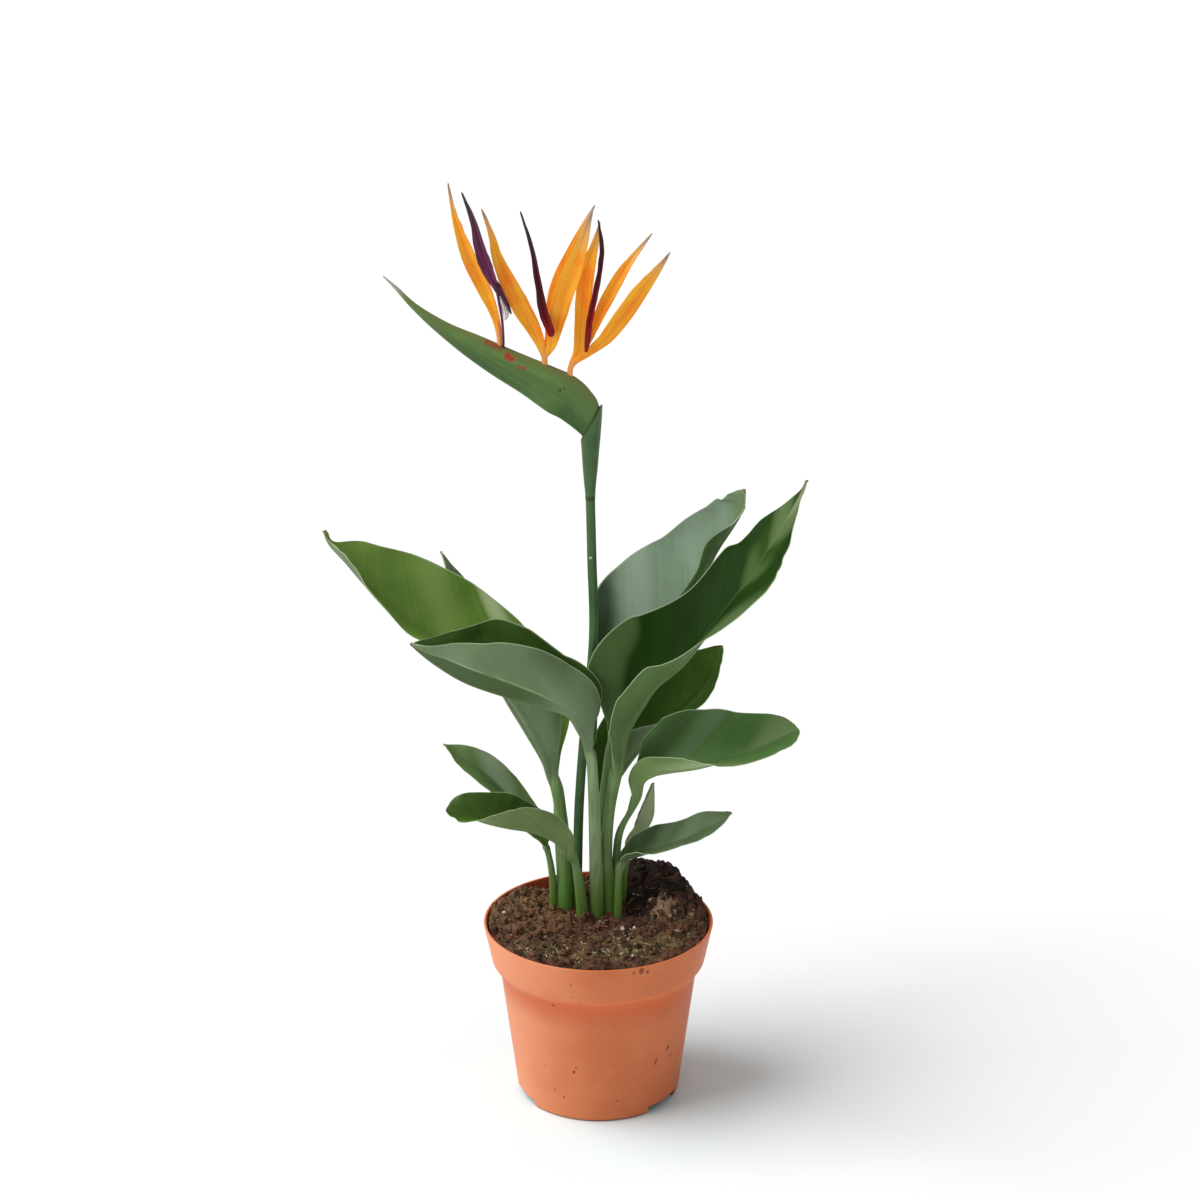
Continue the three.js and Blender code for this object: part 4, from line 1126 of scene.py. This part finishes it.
def soilHeight(x, y):  # the part's own heaps and clods, and finer lumps
    clods = math.sin(x * 0.31 + 1) * math.cos(y * 0.27) + 0.6 * math.sin(x * 0.17 - y * 0.41)
    height = soil["level"] + sum(bell(x, y, *heap) for heap in soil["heaps"]) + soil["clod"] * clods
    return height + bell(x, y, *soil["rootLump"]) + soilLumps(x, y)


def soilLumps(x, y):
    lift = 0
    for scale, size in soil["lumps"]:
        lift += size * (abs(noise.noise((x * scale, y * scale, 40 * scale))) - soil["lumpMean"])
    return lift


def mossShare(x, y):
    share = max(bell(x, y, cx, cy, 1, spread) for cx, cy, spread in soil["moss"])
    return clamp(share * (1.2 + 0.9 * noise.noise((x * 0.09, y * 0.09, 2))), 0, 1)


def soilMark(x, y, reach):  # how much moss, fibre and grit lies here; none lies against the pot
    out = math.hypot(x, y) / reach
    kept = 1 - smoothstep(out, *soil["keepIn"])
    moss = mossShare(x, y)
    return moss * kept, (1 - moss) * kept, 1 - smoothstep(out, *soil["crumbsIn"])


def soilMesh(material):
    sectors, rings = soil["sectors"], soil["rings"]
    inset = pot["wall"] + soil["clearance"]
    reach = potRadius(soil["edge"]) - inset
    bottom = pot["floor"] + pot["notchHeight"] + 1
    walls = [(potRadius(z) - inset, z) for z in (bottom, pot["shoulder"], pot["bandFoot"])]
    under = [(0, 0, bottom)] + [(*p, z) for r, z in walls for p in circleEdge(r, around(sectors))]
    surface = [p for k in range(rings, 0, -1) for p in circleEdge(reach * k / rings, around(sectors))]
    surface.append((0, 0))
    points = under + [(x, y, soilHeight(x, y)) for x, y in surface]
    marks = [(0, 0, 0)] * len(under) + [soilMark(x, y, reach) for x, y in surface]
    lifts = [(0, 0, 0)] * len(under) + [(soilLumps(x, y), 0, 0) for x, y in surface]
    layers = {"soilMark": marks, "soilLift": lifts}
    return newMesh("soil_crumbly", points, shellFaces(len(points), sectors), [material], layers, sharp=80)


def crumbShape(name, seed, flat):  # a lump of 24 faces
    ends = (-1, 0, 1)
    spots = [(x, y, z) for x in ends for y in ends for z in ends if max(abs(x), abs(y), abs(z)) == 1]
    points = []
    for spot in spots:
        way = Vector(spot).normalized()
        bulge = 1 + 1.1 * noise.noise(way * 2.3 + Vector((seed, 0, 0)))
        points.append(Vector((way.x * bulge, way.y * bulge * 0.8, way.z * bulge * flat)))
    index = {spot: k for k, spot in enumerate(spots)}
    faces = []
    for axis, sign, u, v in itertools.product(range(3), (-1, 1), (-1, 0), (-1, 0)):
        corners = [(u, v), (u + 1, v), (u + 1, v + 1), (u, v + 1)][::sign]
        spotsHere = [(sign, a, b) for a, b in corners]
        faces.append(tuple(index[spot[3 - axis:] + spot[:3 - axis]] for spot in spotsHere))
    return newMesh(name, points, faces, [], sharp=30)


def strandShape(name, seed, bend, thick):  # a fibre, one mm long, that lies along X and tapers to both ends
    rings = []
    for i in range(7):
        u = i / 6
        y, z = bend * math.sin(math.pi * u + seed), 0.12 * bend * math.sin(2.6 * u + seed)
        radius = thick * (0.35 + math.sin(math.pi * u))
        edge = circleEdge(radius, [-turn for turn in around(4)])
        rings.append([Vector((u - 0.5, y, z)) + Vector((0, across, up)) for across, up in edge])
    points, faces = skin(rings)
    return newMesh(name, points, faces, [], sharp=70)


# Geometry Nodes that strew the shapes of a collection over the soil's marked surface.
def scatterTree():
    tree = bpy.data.node_groups.new("strewn on soil", "GeometryNodeTree")
    kinds = {"Soil": "Geometry", "Shapes": "Collection", "Where": "Vector"}
    kinds.update(dict.fromkeys(("Number per m2", "Smallest", "Largest", "Tilt"), "Float"))
    kinds.update({"Seed": "Int", "Finish": "Material"})
    for name, kind in kinds.items():
        tree.interface.new_socket(name, in_out="INPUT", socket_type="NodeSocket" + kind)
    tree.interface.new_socket("Strewn", in_out="OUTPUT", socket_type="NodeSocketGeometry")

    def add(kind, settings, sockets):
        node = tree.nodes.new(kind)
        for key, value in settings.items():
            setattr(node, key, value)
        for key, value in sockets.items():
            if isinstance(value, bpy.types.NodeSocket):
                tree.links.new(value, node.inputs[key])
            else:
                node.inputs[key].default_value = value
        return node

    given = tree.nodes.new("NodeGroupInput").outputs
    mark = add("GeometryNodeInputNamedAttribute", {"data_type": "FLOAT_VECTOR"}, {"Name": "soilMark"})
    share = add("ShaderNodeVectorMath", {"operation": "DOT_PRODUCT"}, {0: mark.outputs[0], 1: given["Where"]})
    factors = {0: share.outputs[1], 1: given["Number per m2"]}
    density = add("ShaderNodeMath", {"operation": "MULTIPLY"}, factors)
    spots = {"Mesh": given["Soil"], "Density": density.outputs[0], "Seed": given["Seed"]}
    points = add("GeometryNodeDistributePointsOnFaces", {}, spots)
    lean = add("ShaderNodeCombineXYZ", {}, {0: given["Tilt"], 1: given["Tilt"], 2: math.pi})
    back = add("ShaderNodeVectorMath", {"operation": "SCALE"}, {0: lean.outputs[0], "Scale": -1.0})
    ends = {0: back.outputs[0], 1: lean.outputs[0], "Seed": given["Seed"]}
    turn = add("FunctionNodeRandomValue", {"data_type": "FLOAT_VECTOR"}, ends)
    draw = add("FunctionNodeRandomValue", {"data_type": "FLOAT"}, {2: 0.0, 3: 1.0, "Seed": 7})
    few = add("ShaderNodeMath", {"operation": "POWER"}, {0: draw.outputs[1], 1: 3.0})
    size = add("ShaderNodeMapRange", {}, {0: few.outputs[0], 3: given["Smallest"], 4: given["Largest"]})
    pick = add("FunctionNodeRandomValue", {"data_type": "INT"}, {4: 0, 5: 99, "Seed": 3})
    shapes = {"Collection": given["Shapes"], "Separate Children": True, "Reset Children": True}
    source = add("GeometryNodeCollectionInfo", {}, shapes)
    placed = {
        "Points": points.outputs["Points"],
        "Instance": source.outputs[0],
        "Pick Instance": True,
        "Instance Index": pick.outputs[2],
        "Rotation": turn.outputs[0],
        "Scale": size.outputs[0],
    }
    copies = add("GeometryNodeInstanceOnPoints", {}, placed)
    real = add("GeometryNodeRealizeInstances", {}, {0: copies.outputs[0]})
    done = add("GeometryNodeSetMaterial", {}, {"Geometry": real.outputs[0], "Material": given["Finish"]})
    tree.links.new(done.outputs[0], tree.nodes.new("NodeGroupOutput").inputs[0])
    return tree


def strewn(name, ground, tree, shapes, material, values):
    stock = bpy.data.collections.new(name + "_shapes")
    for shape in shapes:
        bpy.context.scene.collection.objects.unlink(shape)
        stock.objects.link(shape)
    change = ground.modifiers.new(name, "NODES")
    change.node_group = tree
    sockets = {item.name: item.identifier for item in tree.interface.items_tree if item.in_out == "INPUT"}
    for key, value in {**values, "Shapes": stock, "Finish": material}.items():
        change[sockets[key]] = value
    graph = bpy.context.evaluated_depsgraph_get()
    mesh = bpy.data.meshes.new_from_object(ground.evaluated_get(graph))
    ground.modifiers.remove(change)
    mesh.materials.clear()
    mesh.materials.append(material)
    rides(addObject(name, mesh), "soil")
    for shape in shapes:
        bpy.data.objects.remove(shape)
    bpy.data.collections.remove(stock)
    print(name, len(mesh.polygons), "faces")


soilTones = {
    "dark": (34, 22, 16), "mid": (106, 70, 48), "light": (168, 130, 96), "moss": (104, 100, 60),
    "shadedWet": (30, 21, 15), "ruddy": (104, 62, 46), "dry": (160, 122, 84), "root": (188, 150, 118),
}


def soilPaint(name, mossy):
    paint = Paint(name, soilTones)
    place = paint.place()
    big = paint.clouds(place, 0.11, 4, 0.6)
    small = paint.clouds(place, 0.9, 4, 0.7)
    paint.colour = paint.mix("dark", "mid", (0.55 * big + 0.6 * small).rise(0.4, 0.66))
    paint.cover("light", small.rise(0.56, 0.7) * big.rise(0.42, 0.6) * 0.7)
    dry = (paint.away(place, soil["dryPlace"]) + 24 * (big - 0.5)).rise(44, 12)
    paint.cover("dry", dry * small.rise(0.4, 0.6) * 0.7)
    # painted shade of the plant over the wet soil at the right back, darker toward that place
    shadedWet = (paint.away(place, soil["shadedWetPlace"]) + 16 * (big - 0.5)).rise(42, 20)
    paint.cover("shadedWet", shadedWet * 0.85)
    paint.cover("ruddy", shadedWet * big.rise(0.52, 0.6) * small.rise(0.42, 0.6))
    if mossy:
        paint.cover("moss", paint.mark("soilMark")[0] * small.rise(0.35, 0.6) * 0.75)
        paint.cover("root", paint.away(place, soil["rootPlace"]).rise(11, 7) * small.rise(0.3, 0.55) * 0.8)
        # painted shade in the hollows between the finer lumps
        paint.cover("dark", paint.mark("soilLift")[0].rise(0.4, -1.2) * 0.85)
    return paint.finish(Roughness=0.86 + 0.1 * small, Normal=paint.bump(small, 0.8, 0.7))


# What is strewn on the soil: how much it follows the marks of moss, fibre and grit, and its sizes in mm.
strewnPieces = {
    "soil_crumbs": {
        "Where": (0, 0, 1), "Number per m2": 90000.0, "Smallest": 0.3, "Largest": 3.0, "Tilt": 3.1,
    },
    "root_fibres": {
        "Where": (0.4, 1, 0), "Number per m2": 30000.0, "Smallest": 2.5, "Largest": 10.0, "Tilt": 0.4,
    },
    "moss_fibres": {
        "Where": (1, 0, 0), "Number per m2": 460000.0, "Smallest": 1.2, "Largest": 4.4, "Tilt": 0.8,
    },
    "pale_grit": {
        "Where": (0.5, 0.5, 0), "Number per m2": 10400.0, "Smallest": 0.4, "Largest": 1.5, "Tilt": 3.1,
    },
}


def soilPieces():
    ground = soilMesh(soilPaint("soil_brown", True))
    tree = scatterTree()
    materials = {
        "soil_crumbs": soilPaint("crumb_brown", False),
        "root_fibres": cloudyPaint("root_brown", (84, 56, 38), (168, 128, 92), 0.3, 0.75, 0.5),
        "moss_fibres": cloudyPaint("moss_olive", (92, 84, 50), (208, 194, 146), 0.3, 0.75, 0.5),
        "pale_grit": cloudyPaint("grit_pale", (190, 178, 156), (226, 218, 200), 0.3, 0.75, 0.5),
    }
    for seed, (name, values) in enumerate(strewnPieces.items(), 1):
        if "fibres" in name:
            thick = soil["mossThick"] if "moss" in name else soil["rootThick"]
            shapes = [strandShape(f"strand_{k}", k * 1.7, 0.1 + 0.09 * k, thick) for k in range(4)]
        else:
            shapes = [crumbShape(f"crumb_{k}", k * 3.1, 0.6 + 0.1 * k) for k in range(4)]
        strewn(name, ground, tree, shapes, materials[name], {**values, "Seed": seed})
    rides(ground, "soil", "soil")


soilPieces()
print("soil made")

# The camera at the photograph's angle, the pale floor and the soft light from the upper left.
studio = {
    "lens": 90,
    "eye": (1, -1657.6, 913.5),
    "pitch": 19.73,
    "floorReach": 12000,
    "floor": (246, 246, 246),
    "nearPot": (232, 246, 248),
    "sun": 2.85,
    "sunHeight": 52,
    "sunFrom": 174,
    "sunSpread": 52,
    "sky": 0.42,
}


def makeCamera():
    data = bpy.data.cameras.new("camera")
    data.lens = studio["lens"]
    data.clip_end = 100
    camera = addObject("camera", data)
    camera.location = [c * mm for c in studio["eye"]]
    camera.rotation_euler = (math.radians(90 - studio["pitch"]), 0, 0)
    bpy.context.scene.camera = camera


def floorPaint():
    paint = Paint("floor_pale", {"floor": studio["floor"], "nearPot": studio["nearPot"]})
    place = paint.place()
    # a cooler tint painted near the pot, against the pot's warm bounce light on the floor
    paint.colour = paint.mix("floor", "nearPot", paint.away(place, (0, 0, 0)).rise(180, 60))
    return paint.finish(Roughness=0.8 + 0.1 * paint.clouds(place, 0.01, 2))


def makeStudio():
    reach = studio["floorReach"]
    corners = [(-reach, -reach, 0), (reach, -reach, 0), (reach, reach, 0), (-reach, reach, 0)]
    newMesh("floor", corners, [(0, 1, 2, 3)], [floorPaint()])
    light = bpy.data.lights.new("window", "SUN")
    light.energy = studio["sun"]
    light.angle = math.radians(studio["sunSpread"])
    lamp = addObject("window", light)
    height, turn = math.radians(studio["sunHeight"]), math.radians(studio["sunFrom"])
    flat = math.cos(height)
    towards = Vector((math.cos(turn) * flat, -math.sin(turn) * flat, math.sin(height)))
    lamp.rotation_euler = towards.to_track_quat("Z", "Y").to_euler()
    world = bpy.data.worlds.new("white room")
    world.use_nodes = True
    sky = world.node_tree.nodes["Background"]
    sky.inputs["Color"].default_value = (1, 1, 1, 1)
    sky.inputs["Strength"].default_value = studio["sky"]
    bpy.context.scene.world = world
    bpy.context.scene.view_settings.view_transform = "Standard"


makeCamera()
makeStudio()
print("studio made")
